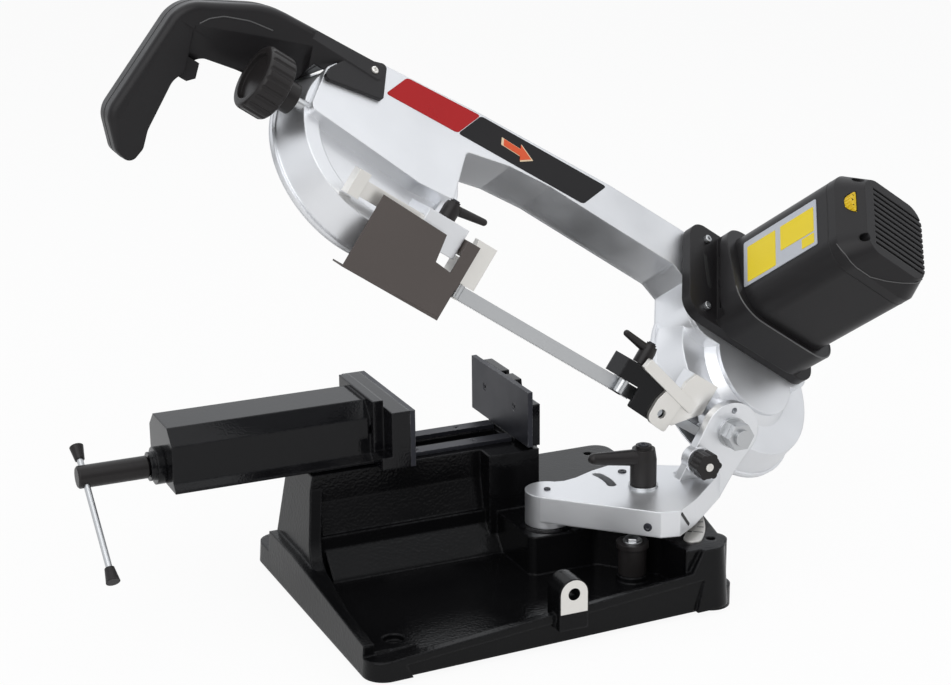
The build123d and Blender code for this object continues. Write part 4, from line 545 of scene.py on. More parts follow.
def node_group(name, inputs, outputs):
    """Empty shader group with named sockets, and its two ends."""
    group = bpy.data.node_groups.new(name, "ShaderNodeTree")
    for label, kind, value in inputs:
        socket = group.interface.new_socket(name=label, in_out="INPUT", socket_type=kind)
        socket.default_value = value
    for label, kind in outputs:
        group.interface.new_socket(name=label, in_out="OUTPUT", socket_type=kind)
    return group, group.nodes.new("NodeGroupInput"), group.nodes.new("NodeGroupOutput")


def grain_group():
    """Grain that can be stretched into brush lines, with a broad shade."""
    inputs = [
        ("Turn", "NodeSocketVector", (0.0, 0.0, 0.0)),
        ("Stretch", "NodeSocketVector", (1.0, 1.0, 1.0)),
        ("Scale", "NodeSocketFloat", 900.0),
        ("Broad", "NodeSocketFloat", 14.0),
    ]
    outputs = [("Height", "NodeSocketFloat"), ("Shade", "NodeSocketFloat")]
    group, start, end = node_group("saw_grain", inputs, outputs)
    place = add_node(group, "ShaderNodeTexCoord")
    turn = add_node(group, "ShaderNodeMapping")
    fine = add_node(group, "ShaderNodeTexNoise", Detail=3.0, Roughness=0.6)
    broad = add_node(group, "ShaderNodeTexNoise", Detail=4.0, Roughness=0.55)
    wire(
        group,
        (place, "Object", turn, "Vector"),
        (start, "Turn", turn, "Rotation"),
        (start, "Stretch", turn, "Scale"),
        (turn, "Vector", fine, "Vector"),
        (start, "Scale", fine, "Scale"),
        (place, "Object", broad, "Vector"),
        (start, "Broad", broad, "Scale"),
        (fine, "Fac", end, "Height"),
        (broad, "Fac", end, "Shade"),
    )
    return group


def edge_group():
    """Softened edge normal and a broken mask of worn edges."""
    inputs = [("Radius", "NodeSocketFloat", 0.0008), ("Breakup", "NodeSocketFloat", 240.0)]
    outputs = [("Mask", "NodeSocketFloat"), ("Normal", "NodeSocketVector")]
    group, start, end = node_group("saw_edges", inputs, outputs)
    bevel = add_node(group, "ShaderNodeBevel", samples=4)
    plain = add_node(group, "ShaderNodeNewGeometry")
    dot = add_node(group, "ShaderNodeVectorMath", operation="DOT_PRODUCT")
    rise = remap(group, EDGE_RISE)
    place = add_node(group, "ShaderNodeTexCoord")
    noise = add_node(group, "ShaderNodeTexNoise", Detail=3.0)
    keep = remap(group, EDGE_KEEP)
    both = add_node(group, "ShaderNodeMath", operation="MULTIPLY")
    wire(
        group,
        (start, "Radius", bevel, "Radius"),
        (bevel, "Normal", dot, 0),
        (plain, "Normal", dot, 1),
        (dot, "Value", rise, "Value"),
        (place, "Object", noise, "Vector"),
        (start, "Breakup", noise, "Scale"),
        (noise, "Fac", keep, "Value"),
        (rise, "Result", both, 0),
        (keep, "Result", both, 1),
        (both, "Value", end, "Mask"),
        (bevel, "Normal", end, "Normal"),
    )
    return group


def pebble_group():
    """Pebbled texture of a powder coat."""
    inputs = [("Scale", "NodeSocketFloat", 700.0), ("Fine", "NodeSocketFloat", 0.35)]
    group, start, end = node_group("saw_pebble", inputs, [("Height", "NodeSocketFloat")])
    place = add_node(group, "ShaderNodeTexCoord")
    cells = add_node(group, "ShaderNodeTexVoronoi", feature="SMOOTH_F1", Smoothness=0.8)
    noise = add_node(group, "ShaderNodeTexNoise", Detail=4.0)
    weigh = add_node(group, "ShaderNodeMath", operation="MULTIPLY_ADD")
    wire(
        group,
        (place, "Object", cells, "Vector"),
        (start, "Scale", cells, "Scale"),
        (place, "Object", noise, "Vector"),
        (start, "Scale", noise, "Scale"),
        (noise, "Fac", weigh, 0),
        (start, "Fine", weigh, 1),
        (cells, "Distance", weigh, 2),
        (weigh, "Value", end, "Height"),
    )
    return group


GROUP_MAKERS = {"grain": grain_group, "edges": edge_group, "pebble": pebble_group}


def place_group(tree, name, **values):
    """Shared group in a material, made when it is first asked for, with its own values."""
    if name not in GROUPS:
        GROUPS[name] = GROUP_MAKERS[name]()
    node = tree.nodes.new("ShaderNodeGroup")
    node.node_tree = GROUPS[name]
    for key, value in values.items():
        node.inputs[key].default_value = value
    return node


def finish(
    name, base, rough, metal, vary, grain, depth, bump, edge,
    specular=0.5, pebble=0.0, worn=None, stretch=(1.0, 1.0, 1.0), turn=(0.0, 0.0, 0.0),
):
    """Material with a grained surface, a broad shade and softened edges."""
    material = bpy.data.materials.new(name)
    material.use_nodes = True
    tree = material.node_tree
    shader = tree.nodes["Principled BSDF"]
    shader.inputs["Metallic"].default_value = metal
    shader.inputs["Specular IOR Level"].default_value = specular
    grains = place_group(tree, "grain", Scale=grain, Stretch=stretch, Turn=turn)
    edges = place_group(tree, "edges", Radius=edge)
    tone, dark, light, top = colour_mix(tree)
    dark.default_value = (*[channel * vary for channel in base], 1.0)
    light.default_value = (*base, 1.0)
    wire(tree, (grains, "Shade", tone, "Factor"))
    if worn is not None:
        wear, sound, rubbed, mixed = colour_mix(tree)
        rubbed.default_value = (*worn, 1.0)
        tree.links.new(top, sound)
        wire(tree, (edges, "Mask", wear, "Factor"))
        top = mixed
    tree.links.new(top, shader.inputs["Base Color"])
    gloss = remap(tree, SHADE_RANGE, rough)
    relief = add_node(tree, "ShaderNodeBump", Strength=bump, Distance=depth)
    height = place_group(tree, "pebble", Scale=pebble) if pebble else grains
    wire(
        tree,
        (grains, "Shade", gloss, "Value"),
        (gloss, "Result", shader, "Roughness"),
        (height, "Height", relief, "Height"),
        (edges, "Normal", relief, "Normal"),
        (relief, "Normal", shader, "Normal"),
    )
    return material


# Each row: name, colour, roughness, metal, shade, grain, relief depth, relief strength and edge radius
SURFACES = {
    "cast": ("cast_aluminium", "aluminium", (0.30, 0.44), 0.9, 0.9, 1400, 0.0002, 0.16, 0.0016),
    "sheet": ("cover_sheet", "sheet", (0.34, 0.46), 0.85, 0.9, 1800, 0.0001, 0.12, 0.0008),
    "base": ("base_powder_coat", "base_coat", (0.12, 0.24), 0.0, 0.7, 900, 0.0004, 0.3, 0.003),
    "vise": ("vise_texture_coat", "vise_coat", (0.07, 0.16), 0.0, 0.7, 900, 0.0003, 0.18, 0.0025),
    "plastic": ("moulded_plastic", "plastic", (0.30, 0.42), 0.0, 0.8, 2600, 0.00012, 0.3, 0.0018),
    "knob": ("knob_plastic", "knob", (0.28, 0.40), 0.0, 0.8, 2200, 0.00012, 0.3, 0.0012),
    "guard": ("guard_paint", "guard", (0.42, 0.55), 0.0, 0.85, 1500, 0.0001, 0.25, 0.0008),
    "zinc": ("zinc_plate", "zinc", (0.28, 0.42), 0.8, 0.9, 900, 0.0001, 0.2, 0.0008),
    "steel": ("bright_steel", "steel", (0.22, 0.36), 1.0, 0.85, 1600, 0.00008, 0.2, 0.0006),
    "blade": ("blade_steel", "steel", (0.26, 0.40), 1.0, 0.8, 700, 0.00006, 0.3, 0.0002),
    "jaw": ("ground_jaw_steel", "jaw_steel", (0.36, 0.50), 0.6, 0.8, 700, 0.0001, 0.25, 0.0007),
    "dial": ("dial_yellow", "dial", (0.30, 0.42), 0.0, 0.92, 2000, 0.00006, 0.2, 0.0005),
    "plate": ("motor_plate", "plate", (0.34, 0.46), 0.35, 0.94, 2400, 0.00004, 0.15, 0.0002),
    "panel": ("panel_yellow", "panel", (0.38, 0.50), 0.0, 0.95, 2400, 0.00003, 0.15, 0.0002),
    "red": ("band_red", "band_red", (0.26, 0.36), 0.0, 0.92, 1200, 0.00003, 0.12, 0.0002),
    "black": ("band_black", "band_black", (0.26, 0.36), 0.0, 0.85, 1200, 0.00003, 0.12, 0.0002),
    "arrow": ("arrow_red", "arrow", (0.28, 0.38), 0.0, 0.94, 1200, 0.00003, 0.12, 0.0001),
    "rim": ("arrow_rim", "arrow_rim", (0.28, 0.38), 0.0, 0.94, 1200, 0.00003, 0.12, 0.0001),
    "copper": ("winding_copper", "copper", (0.30, 0.45), 0.9, 0.8, 500, 0.0003, 0.4, 0.0008),
    # Crease grey is lighter than the plastic: a painted highlight along the creases
    "seam": ("moulding_seam", "seam", (0.3, 0.4), 0.0, 0.8, 2000, 0.00005, 0.2, 0.0002),
    # Recess black is darker than the plastic: painted shade in seams and the slot
    "dark": ("dark_recess", "recess", (0.6, 0.7), 0.0, 0.8, 2000, 0.00005, 0.2, 0.0002),
}
# What some surfaces have besides: a weaker mirror, pebbles, worn edges or brush lines
SURFACE_EXTRAS = {
    "base": dict(specular=0.16, pebble=420, worn=(0.014, 0.014, 0.016)),
    "vise": dict(specular=0.22, pebble=560, worn=(0.018, 0.018, 0.020)),
    "plastic": dict(specular=0.22),
    "knob": dict(specular=0.25),
    "guard": dict(specular=0.3),
    "blade": dict(stretch=(0.03, 1.0, 1.0), turn=(0.0, -HEAD_LIFT, 0.0)),
    "jaw": dict(stretch=(1.0, 0.05, 1.0), worn=(0.30, 0.30, 0.31)),
    "red": dict(specular=0.15),
    "black": dict(specular=0.15),
    "arrow": dict(specular=0.2),
    "rim": dict(specular=0.2),
}
NODE_FINISH = {
    "cast": ("bow_casting", "swivel_bracket", "gear_cover"),
    "sheet": ("rear_cover",),
    "base": ("base_casting",),
    "vise": ("vise_slide", "fixed_jaw", "vise_bush", "vise_nut", "right_guide_bracket"),
    "plastic": (
        "gearbox_housing", "motor_housing", "motor_end_cap", "handle_front_half", "handle_back_half",
        "trigger",
    ),
    "knob": (
        "tension_knob", "plunger_knob", "swivel_lever", "left_guide_lever", "right_guide_lever",
        "vise_tbar_knobs", "vise_screw", "mitre_stop_post",
    ),
    "guard": ("blade_guard",),
    "zinc": ("guide_bar", "guide_block", "right_guide_bar", "mitre_scale"),
    "steel": (
        "hinge_pin", "hinge_nut", "lock_stud", "swivel_pin", "plunger_pin", "vise_tbar", "cover_screws",
        "drive_wheel", "drive_shaft", "drive_gear", "second_gear_shaft", "first_gear_shaft", "motor_rotor",
        "head_bearings", "casing_screws", "idler_wheel", "idler_axle", "tension_slide", "tension_screw",
        "left_roller_front", "left_roller_back", "right_roller_front", "right_roller_back",
    ),
    "blade": ("blade",),
    "jaw": ("bed_rails", "fixed_jaw_plate", "moving_jaw_plate", "base_screws", "moving_jaw_screws"),
    "dial": ("speed_dial",),
    "copper": ("motor_stator",),
}


class SawOperator(bpy.types.Operator):
    """Base of the saw's operators."""

    bl_options = {"REGISTER", "UNDO"}


class SAW_OT_finishes(SawOperator):
    """Gives every casting, moulding and fastener its finish."""

    bl_idname = "saw.finishes"
    bl_label = "Finishes"

    def execute(self, context):
        tints = context.scene.saw_colours
        for key, (name, tint, *values) in SURFACES.items():
            FINISHES[key] = finish(name, getattr(tints, tint), *values, **SURFACE_EXTRAS.get(key, {}))
        for key, names in NODE_FINISH.items():
            for name in names:
                node = frame["nodes"][name]
                node.data.materials.clear()
                node.data.materials.append(FINISHES[key])
        bare = sorted(set(frame["nodes"]) - {name for names in NODE_FINISH.values() for name in names})
        if bare:
            raise RuntimeError(f"no finish for {bare}")
        return {"FINISHED"}


# Outlines on the beam's front face, in the bow's plane
BEAM_RED = ((-0.2195, 0.1395), (-0.1360, 0.1460), (-0.1120, 0.1835), (-0.1990, 0.1730))
BEAM_BLACK = ((-0.1355, 0.1460), (0.0200, 0.1560), (0.0480, 0.1955), (-0.1115, 0.1835))
# The running arrow, from its middle
ARROW_PLACE = (-0.0655, 0.1690)
ARROW_HALF = 0.0170
ARROW_NECK = 0.0035
ARROW_TAIL = 0.0040
ARROW_HEAD = 0.0095
ARROW_CORNER = 0.0004
RIM_CORNER = 0.0005
RIM_SCALE = 1.16


class SAW_OT_beam_band(SawOperator):
    """Lays the plain red and black films and the running arrow on the beam."""

    bl_idname = "saw.beam_band"
    bl_label = "Beam band"

    def execute(self, context):
        sizes = context.scene.saw_sizes
        face = BOW @ at(0.0, 0.0, BAND_FRONT)
        over, top = (BOW @ at(*ARROW_PLACE, BAND_FRONT + layer * sizes.sticker) for layer in (1, 2))
        lower = [(-ARROW_HALF, -ARROW_TAIL), (ARROW_NECK, -ARROW_TAIL), (ARROW_NECK, -ARROW_HEAD)]
        upper = [(x, -v) for x, v in reversed(lower)]
        arrow = [*lower, (ARROW_HALF, 0.0), *upper]
        halo = [(RIM_SCALE * x, RIM_SCALE * v) for x, v in arrow]
        for name, outline, place, corner, key in (
            ("beam_film_red", BEAM_RED, face, sizes.film_corner, "red"),
            ("beam_film_black", BEAM_BLACK, face, sizes.film_corner, "black"),
            ("beam_arrow_rim", halo, over, RIM_CORNER, "rim"),
            ("beam_arrow", arrow, top, ARROW_CORNER, "arrow"),
        ):
            layer = film(outline, sizes.sticker, corner)
            placed(layer, name, place, "saw_head", key)
        return {"FINISHED"}


# Boxes on the motor's left side, as low and high along its axis and up its side
PLATE_BOX = (0.0785, 0.173, 0.123, 0.179)
PLATE_CORNER = 0.002
PANEL_BOXES = ((0.0835, 0.1205, 0.127, 0.171), (0.127, 0.1695, 0.141, 0.171), (0.154, 0.1695, 0.127, 0.139))
PANEL_CORNER = 0.001
PANEL_SHARE = 0.3


class SAW_OT_motor_plate(SawOperator):
    """Puts the plain plate with its yellow panels on the motor."""

    bl_idname = "saw.motor_plate"
    bl_label = "Motor plate"

    def execute(self, context):
        thick = context.scene.saw_sizes.plate
        place = BOW @ at(MOTOR_AXIS.x - MOTOR_HALF, 0.0, 0.0) @ Matrix.Rotation(-pi / 2, 4, "Y")
        plate = film(box_outline(*PLATE_BOX), thick, PLATE_CORNER)
        placed(plate, "motor_plate", place, "saw_head", "plate")
        panels = join([film(box_outline(*box), PANEL_SHARE * thick, PANEL_CORNER) for box in PANEL_BOXES])
        over = place @ at(0.0, 0.0, thick)
        placed(panels, "motor_plate_panels", over, "saw_head", "panel")
        return {"FINISHED"}


TEETH_START = -0.112
TEETH_END = 0.118
TOOTH_FILL = 0.9
BLADE_THICK = 0.00065
BLADE_EDGE = -0.0065


class SAW_OT_blade_teeth(SawOperator):
    """Cuts a row of saw teeth along the blade between its guides."""

    bl_idname = "saw.blade_teeth"
    bl_label = "Blade teeth"

    def execute(self, context):
        pitch = context.scene.saw_sizes.tooth_pitch
        tall = context.scene.saw_sizes.tooth_height
        flank = TOOTH_FILL * pitch
        tooth = film([(0.0, 0.0), (flank, 0.0), (flank, -tall)], BLADE_THICK)
        settle(tooth, Matrix.Rotation(pi / 2, 4, "X"))
        apply_modifier(
            tooth, "ARRAY", fit_type="FIXED_COUNT", count=int((TEETH_END - TEETH_START) / pitch),
            use_relative_offset=False, use_constant_offset=True,
            constant_offset_displace=(pitch, 0.0, 0.0),
        )
        # The blade lies on the outside of its wheels, so its middle is half its thickness off their line
        middle = BLADE_LINE.y - BLADE_THICK / 2 * cos(pi / 4)
        place = HEAD @ at(TEETH_START, middle + BLADE_THICK / 2, BLADE_LINE.z + BLADE_EDGE)
        placed(tooth, "blade_teeth", place, "saw_head", "blade")
        return {"FINISHED"}


# Paths over the end cap's corner, in the bow's axes
MOTOR_CREASES = (
    (
        (0.1909, 0.1114, 0.1947), (0.1940, 0.1056, 0.1966), (0.1993, 0.1013, 0.1978),
        (0.2062, 0.0970, 0.1976), (0.2146, 0.0951, 0.1973), (0.2347, 0.0952, 0.1971),
    ),
    (
        (0.2347, 0.0952, 0.1974), (0.2500, 0.0971, 0.2015), (0.2660, 0.1000, 0.2080),
        (0.2800, 0.1042, 0.2145), (0.2870, 0.1120, 0.2160),
    ),
)
COLLAR_HALF = (0.0664, 0.0614)
COLLAR_CORNER = 0.0304
COLLAR_STEPS = 10
# Points of the collar's outline that the lip follows, which are its two lower corners
COLLAR_LOWER = slice(2 * (COLLAR_STEPS + 1), None)
LIP_TOP = 0.084
LIP_FOOT = 0.088
LIP_SLOPE = 0.18
# Outline of the dark film on the flange, painted shade at the gearbox slot
GEARBOX_SLOT_SHADE = ((0.1657, 0.1726), (0.1736, 0.1341), (0.1786, 0.1341), (0.1707, 0.1726))
SLOT_CORNER = 0.002
# Shares of the seam's width
CREASE_SHARE = 0.6
SEAM_SHARE = 0.4
SLOT_SHARE = 0.3


class SAW_OT_motor_lines(SawOperator):
    """Runs the creases and the collar lip over the motor in a lighter grey as painted highlight, and the cap seam
    and a dark film at the gearbox slot as painted shade.
    """

    bl_idname = "saw.motor_lines"
    bl_label = "Motor lines"

    def execute(self, context):
        width = context.scene.saw_sizes.seam
        # Raised creases in lighter grey, which paints a highlight along them
        creases = join([bead(between(points), CREASE_SHARE * width) for points in MOTOR_CREASES])
        finished(creases, "motor_creases", BOW, "saw_head", "seam")
        square = rounded(MOTOR_AXIS, (MOTOR_HALF, MOTOR_HALF), MOTOR_CORNER)
        # Dark bead round the end cap, painted shade in its seam
        seam = bead([(x, v, CAP_SEAM) for x, v in square], SEAM_SHARE * width, closed=True)
        placed(seam, "motor_cap_seam", BOW, "saw_head", "dark")
        # Collar lip in lighter grey, a painted highlight along it
        collar = rounded(MOTOR_AXIS, COLLAR_HALF, COLLAR_CORNER, COLLAR_STEPS)
        lip = bead([(x, v, LIP_TOP - LIP_SLOPE * (v - LIP_FOOT)) for x, v in collar[COLLAR_LOWER]], width)
        finished(lip, "motor_collar_lip", BOW, "saw_head", "seam")
        # Dark film on the flange, painted shade where the slot is
        slot = film(GEARBOX_SLOT_SHADE, SLOT_SHARE * width, SLOT_CORNER)
        flange = BOW @ at(0.0, 0.0, FLANGE_TOP)
        placed(slot, "gearbox_slot", flange, "saw_head", "dark")
        return {"FINISHED"}


# Planes that shave the handle: a corner, the directions along and across, and the reach, in the head's axes
HANDLE_SHAVES = (
    ((-0.4034, HANDLE_FRONT, 0.2052), (0.0528, 0.0, 0.0199), (0.0367, 0.0160, -0.0191), 0.108),
    ((-0.4195, HANDLE_FRONT, 0.0600), (0.0114, 0.0, 1.0), (0.0275, 0.0045, 0.0), 0.142),
)
HANDLE_CREASE = (
    (-0.4008, 0.2080), (-0.3952, 0.2162), (-0.3850, 0.2242), (-0.3633, 0.2324), (-0.3409, 0.2359),
)
HANDLE_CREASE_SHARE = 0.7
HANDLE_SMOOTH = 22
HANDLE_FLAT = radians(0.5)
# How straight back a face of the split looks, and how near it lies
SPLIT_NORMAL = 0.99
SPLIT_NEAR = 0.0005
CHEEK_SCREW = (-0.238, 0.152, 0.035)
CHEEK_SCREW_SIZE = (0.0036, 0.0018)


class SAW_OT_handle(SawOperator):
    """Shapes the front of the handle, with its seam as a dark bead of painted shade, its crease in lighter grey as
    painted highlight, and its cheek screw.
    """

    bl_idname = "saw.handle"
    bl_label = "Handle"

    def execute(self, context):
        width = context.scene.saw_sizes.seam
        shell = merged_copy("handle_front_half")
        for corner, along, across, reach in HANDLE_SHAVES:
            shave(shell, corner, along, across, reach, HEAD)
        edit(shell)
        bpy.ops.mesh.dissolve_limited(angle_limit=HANDLE_FLAT)
        leave_edit()
        smooth(shell, HANDLE_SMOOTH)
        apply_modifier(shell, "WEIGHTED_NORMAL", keep_sharp=True, weight=100)
        fit(shell, "handle_front_moulding", "saw_head", "plastic")
        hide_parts("handle_front_half")
        # Dark bead along the split of the halves, painted shade in the seam
        seam = edge_bead("handle_front_half", self.on_split, SEAM_SHARE * width)
        fit(seam, "handle_seam", "saw_head", "dark")
        # Raised crease in lighter grey, a painted highlight along it
        path = between([(x, HANDLE_FRONT, z) for x, z in HANDLE_CREASE])
        crease = bead(path, HANDLE_CREASE_SHARE * width)
        finished(crease, "handle_crease", HEAD, "saw_head", "seam")
        cheek = BOW @ at(*CHEEK_SCREW)
        finished(cross_screw(*CHEEK_SCREW_SIZE), "handle_screw", cheek, "saw_head", "zinc")
        return {"FINISHED"}

    @staticmethod
    def on_split(face):
        """Whether a face lies in the plane where the handle's halves meet."""
        near = abs(face.calc_center_median().y - HANDLE_SPLIT) < SPLIT_NEAR
        return near and face.normal.y > SPLIT_NORMAL


# Socket screws: head radius, height, key radius and socket depth
FIXED_JAW_SCREW = (0.004, 0.0137, 0.0021, 0.0025)
MOVING_JAW_SCREW = (0.004, 0.0227, 0.0021, 0.0025)
RAIL_SCREW = (0.003, 0.0038, 0.0016, 0.0018)
CASING_SCREW = (0.004, 0.004, 0.0021, 0.0022)
# Cross screws: head radius and height
COVER_SCREW = (0.005, 0.003)
CAP_SCREW_R = 0.0038
FIXED_JAW_X = 0.0525
MOVING_JAW_X = -0.0995
RAIL_X = (-0.120, -0.060, 0.0)
RAIL_Y = (0.057, 0.099)
CASING_X = 0.1706
CASING_V = (0.192, 0.108)
COVER_SCREWS = (
    (IDLER_X + 0.120, 0.179), (IDLER_X + 0.230, 0.188), (DRIVE_X - 0.076, 0.194),
    (DRIVE_X + 0.060, 0.184), (IDLER_X + 0.074, 0.144),
)
CAP_WELLS = ((0.2066, 0.190), (0.2076, 0.117))
CAP_WELL_FLOOR = 0.203
# Small plugs in levers and knobs: name, place, body, radius and finish
PLUGS = (
    ("swivel_lever_screw", above("swivel_lever_turn", 0.0291), "swivel_lever", 0.005, "jaw"),
    ("left_lever_screw", above("left_guide_lever_turn", 0.0143, HEAD), "left_guide_lever", 0.0035, "jaw"),
    ("right_lever_screw", above("right_guide_lever_turn", 0.0163, HEAD), "right_guide_lever", 0.0035, "jaw"),
    ("plunger_ring", facing((0.181, -0.081, 0.115), (0, -1, 0)), "plunger", 0.004, "zinc"),
)
PLUG_TALL = 0.0012
PLUG_DEEP = 0.0008
PLUG_KEY = 0.55


class SAW_OT_screws(SawOperator):
    """Fits socket and cross screws in place of the plain fasteners."""

    bl_idname = "saw.screws"
    bl_label = "Screws"

    def execute(self, context):
        fixed = [facing((FIXED_JAW_X, y, JAW_SCREW_Z), (-1, 0, 0)) for y in JAW_SCREW_Y]
        rails = [at(x, y, RAIL_SEAT) for y in RAIL_Y for x in RAIL_X]
        moving = [facing((MOVING_JAW_X, y, JAW_SCREW_Z), (1, 0, 0)) for y in JAW_SCREW_Y]
        corners = [BOW @ at(CASING_X, v, FLANGE_TOP) for v in CASING_V]
        backs = [BOW @ facing((x, v, COVER_BACK), (0, 0, -1)) for x, v in COVER_SCREWS]
        jaw_heads = spread(socket_screw(*FIXED_JAW_SCREW), fixed)
        base_heads = join([spread(socket_screw(*RAIL_SCREW), rails), jaw_heads])
        moving_heads = spread(socket_screw(*MOVING_JAW_SCREW), moving)
        casing_heads = spread(socket_screw(*CASING_SCREW), corners)
        cover_heads = spread(cross_screw(*COVER_SCREW), backs)
        for heads, name, node, body, slot, key in (
            (base_heads, "base_screw_heads", "base_screws", "base", "jaw_steel", "jaw"),
            (moving_heads, "moving_jaw_screw_heads", "moving_jaw_screws", "vise_slide", "jaw_steel", "jaw"),
            (casing_heads, "casing_screw_heads", "casing_screws", "saw_head", "bright_steel", "steel"),
            (cover_heads, "cover_screw_heads", "cover_screws", "saw_head", "bright_steel", "steel"),
        ):
            finished(heads, name, IN_PLACE, body, key)
            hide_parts(node)
        wells = [at(x, v, CAP_WELL_FLOOR) for x, v in CAP_WELLS]
        cap_heads = spread(cross_screw(CAP_SCREW_R, context.scene.saw_sizes.screw_head), wells)
        finished(cap_heads, "end_cap_screws", BOW, "saw_head", "steel")
        for name, place, body, radius, key in PLUGS:
            plug = socket_screw(radius, PLUG_TALL, PLUG_KEY * radius, PLUG_DEEP)
            finished(plug, name, place, body, key)
        return {"FINISHED"}


# Stop bolt: head radius, height, washer radius and thickness
STOP_BOLT = (0.007, 0.0030, 0.009, 0.0014)
STOP_SCREWS = (
    ("deck_stop_screw", at(0.123, -0.016, DECK_TOP), 0.0042),
    ("side_stop_screw", facing((0.0972, -0.1153, 0.0821), (-1, -1, 0)), 0.0040),
    ("pivot_plug", at(SWIVEL.x, SWIVEL.y, DECK_TOP), 0.0032),
)
STOP_TALL = 0.0012
STOP_DEEP = 0.0009
STOP_KEY = 0.5
POINTER_TOP = Vector((0.1255, -0.127, 0.095))
POINTER_FOOT = Vector((0.139, -0.117, 0.078))
POINTER_OUT = Vector((0.58, -0.81, 0.0)).normalized()
POINTER_HALF = 0.0015
POINTER_CORNER = 0.0008
LUG_MARGIN = 0.0008
LUG_FOOT = -0.018
LUG_STEPS = 16
LUG_BORE_SIDES = 40
LUG_CUT = 0.01


class SAW_OT_base_fittings(SawOperator):
    """Machines the front lug and fits the stop bolt, stop screws and pointer."""

    bl_idname = "saw.base_fittings"
    bl_label = "Base fittings"

    def execute(self, context):
        thick = context.scene.saw_sizes.mark
        self.machine_lug(thick)
        finished(hexagon_bolt(*STOP_BOLT), "stop_post_bolt", at(*POST), "base", "steel")
        for name, place, radius in STOP_SCREWS:
            screw = socket_screw(radius, STOP_TALL, STOP_KEY * radius, STOP_DEEP)
            finished(screw, name, place, "swivel", "jaw")
        run = POINTER_FOOT - POINTER_TOP
        along = (run - run.dot(POINTER_OUT) * POINTER_OUT).normalized()
        turn = Matrix((along, POINTER_OUT.cross(along), POINTER_OUT)).transposed().to_4x4()
        outline = box_outline(0, run.length, -POINTER_HALF, POINTER_HALF)
        place = Matrix.Translation(POINTER_TOP) @ turn
        pointer = film(outline, thick, POINTER_CORNER)
        placed(pointer, "mitre_pointer", place, "swivel", "black")
        return {"FINISHED"}

    def machine_lug(self, thick):
        """Bright face of the front lug round its bore."""
        radius = LUG_R - LUG_MARGIN
        angles = [pi * step / LUG_STEPS for step in range(LUG_STEPS + 1)]
        edge = [(-radius, LUG_FOOT), (radius, LUG_FOOT)]
        edge += [(radius * cos(a), radius * sin(a)) for a in angles]
        face = film(edge, thick)
        bore = added(
            bpy.ops.mesh.primitive_cylinder_add, vertices=LUG_BORE_SIDES, radius=LUG_BORE, depth=LUG_CUT
        )
        place = Matrix.Translation(LUG) @ Matrix.Rotation(pi / 2, 4, "X")
        placed(cut(face, bore), "lug_face", place, "base", "zinc")


TICK_HALF = 0.0003
# Radii and figure height of the mitre scale, whose long marks carry figures
SCALE_FIGURED = 15
SCALE_LONG = 0.1375
SCALE_SHORT = 0.1405
SCALE_OUTER = 0.1465
SCALE_FIGURE_R = 0.1345
SCALE_FIGURE = 0.005
# Height of the speed dial over its joint, with the radii and height of its figures and marks
DIAL_RISE = 0.004
DIAL_FIGURES = 6
DIAL_MARK = (0.0110, 0.0130)
DIAL_FIGURE_R = 0.0114
DIAL_FIGURE = 0.0038


class SAW_OT_scale_marks(SawOperator):
    """Marks the mitre scale in degrees and the dial with plain numbers."""

    bl_idname = "saw.scale_marks"
    bl_label = "Scale marks"

    def execute(self, context):
        sizes = context.scene.saw_sizes
        hub = at(SWIVEL.x, SWIVEL.y, SCALE_TOP)
        upright = at(SCALE_FIGURE_R, 0.0, 0.0) @ Matrix.Rotation(pi / 2, 4, "Z")
        marks = []
        for degrees in range(0, SCALE_END + 1, sizes.scale_step):
            figured = degrees % SCALE_FIGURED == 0
            turn = hub @ Matrix.Rotation(SCALE_ZERO + radians(degrees), 4, "Z")
            inner = SCALE_LONG if figured else SCALE_SHORT
            marks.append(self.tick(inner, SCALE_OUTER, sizes.mark, turn))
            if figured:
                marks.append(numeral(str(degrees), SCALE_FIGURE, turn @ upright))
        fit(join(marks), "mitre_marks", "base", "black")
        hub = above("speed_dial_turn", DIAL_RISE, BOW)
        outward = at(DIAL_FIGURE_R, 0.0, 0.0) @ Matrix.Rotation(-pi / 2, 4, "Z")
        step_turn = 2 * pi / DIAL_FIGURES
        marks = []
        for step in range(DIAL_FIGURES):
            turn = hub @ Matrix.Rotation(step * step_turn, 4, "Z")
            halfway = turn @ Matrix.Rotation(step_turn / 2, 4, "Z")
            marks.append(numeral(str(step + 1), DIAL_FIGURE, turn @ outward))
            marks.append(self.tick(*DIAL_MARK, sizes.mark, halfway))
        fit(join(marks), "dial_marks", "speed_dial", "black")
        return {"FINISHED"}

    def tick(self, inner, outer, thick, place):
        """Radial mark on a scale."""
        mark = film(box_outline(inner, outer, -TICK_HALF, TICK_HALF), thick)
        settle(mark, place)
        return mark


# Wedge at the guard's lower edge, in the head's axes
GUARD_FOLD = ((-0.2188, 0.0912), (-0.1138, 0.0912), (-0.1138, 0.0943))
GUARD_FRONT = -0.0526
GUARD_THICK = 0.0013


class SAW_OT_guard_fold(SawOperator):
    """Closes the folded lower edge of the blade guard."""

    bl_idname = "saw.guard_fold"
    bl_label = "Guard fold"

    def execute(self, context):
        place = HEAD @ at(0.0, GUARD_FRONT, 0.0) @ Matrix.Rotation(pi / 2, 4, "X")
        placed(film(GUARD_FOLD, GUARD_THICK), "guard_fold", place, "guide_arm", "guard")
        return {"FINISHED"}


RING_R = 0.058
RING_STEPS = 48
RIDGE_R = 0.0016
RIDGE_LINE = ((IDLER_X + 0.090, 0.160, COVER_BACK), (DRIVE_X - 0.090, 0.176, COVER_BACK))
RIDGE_PARTS = 6


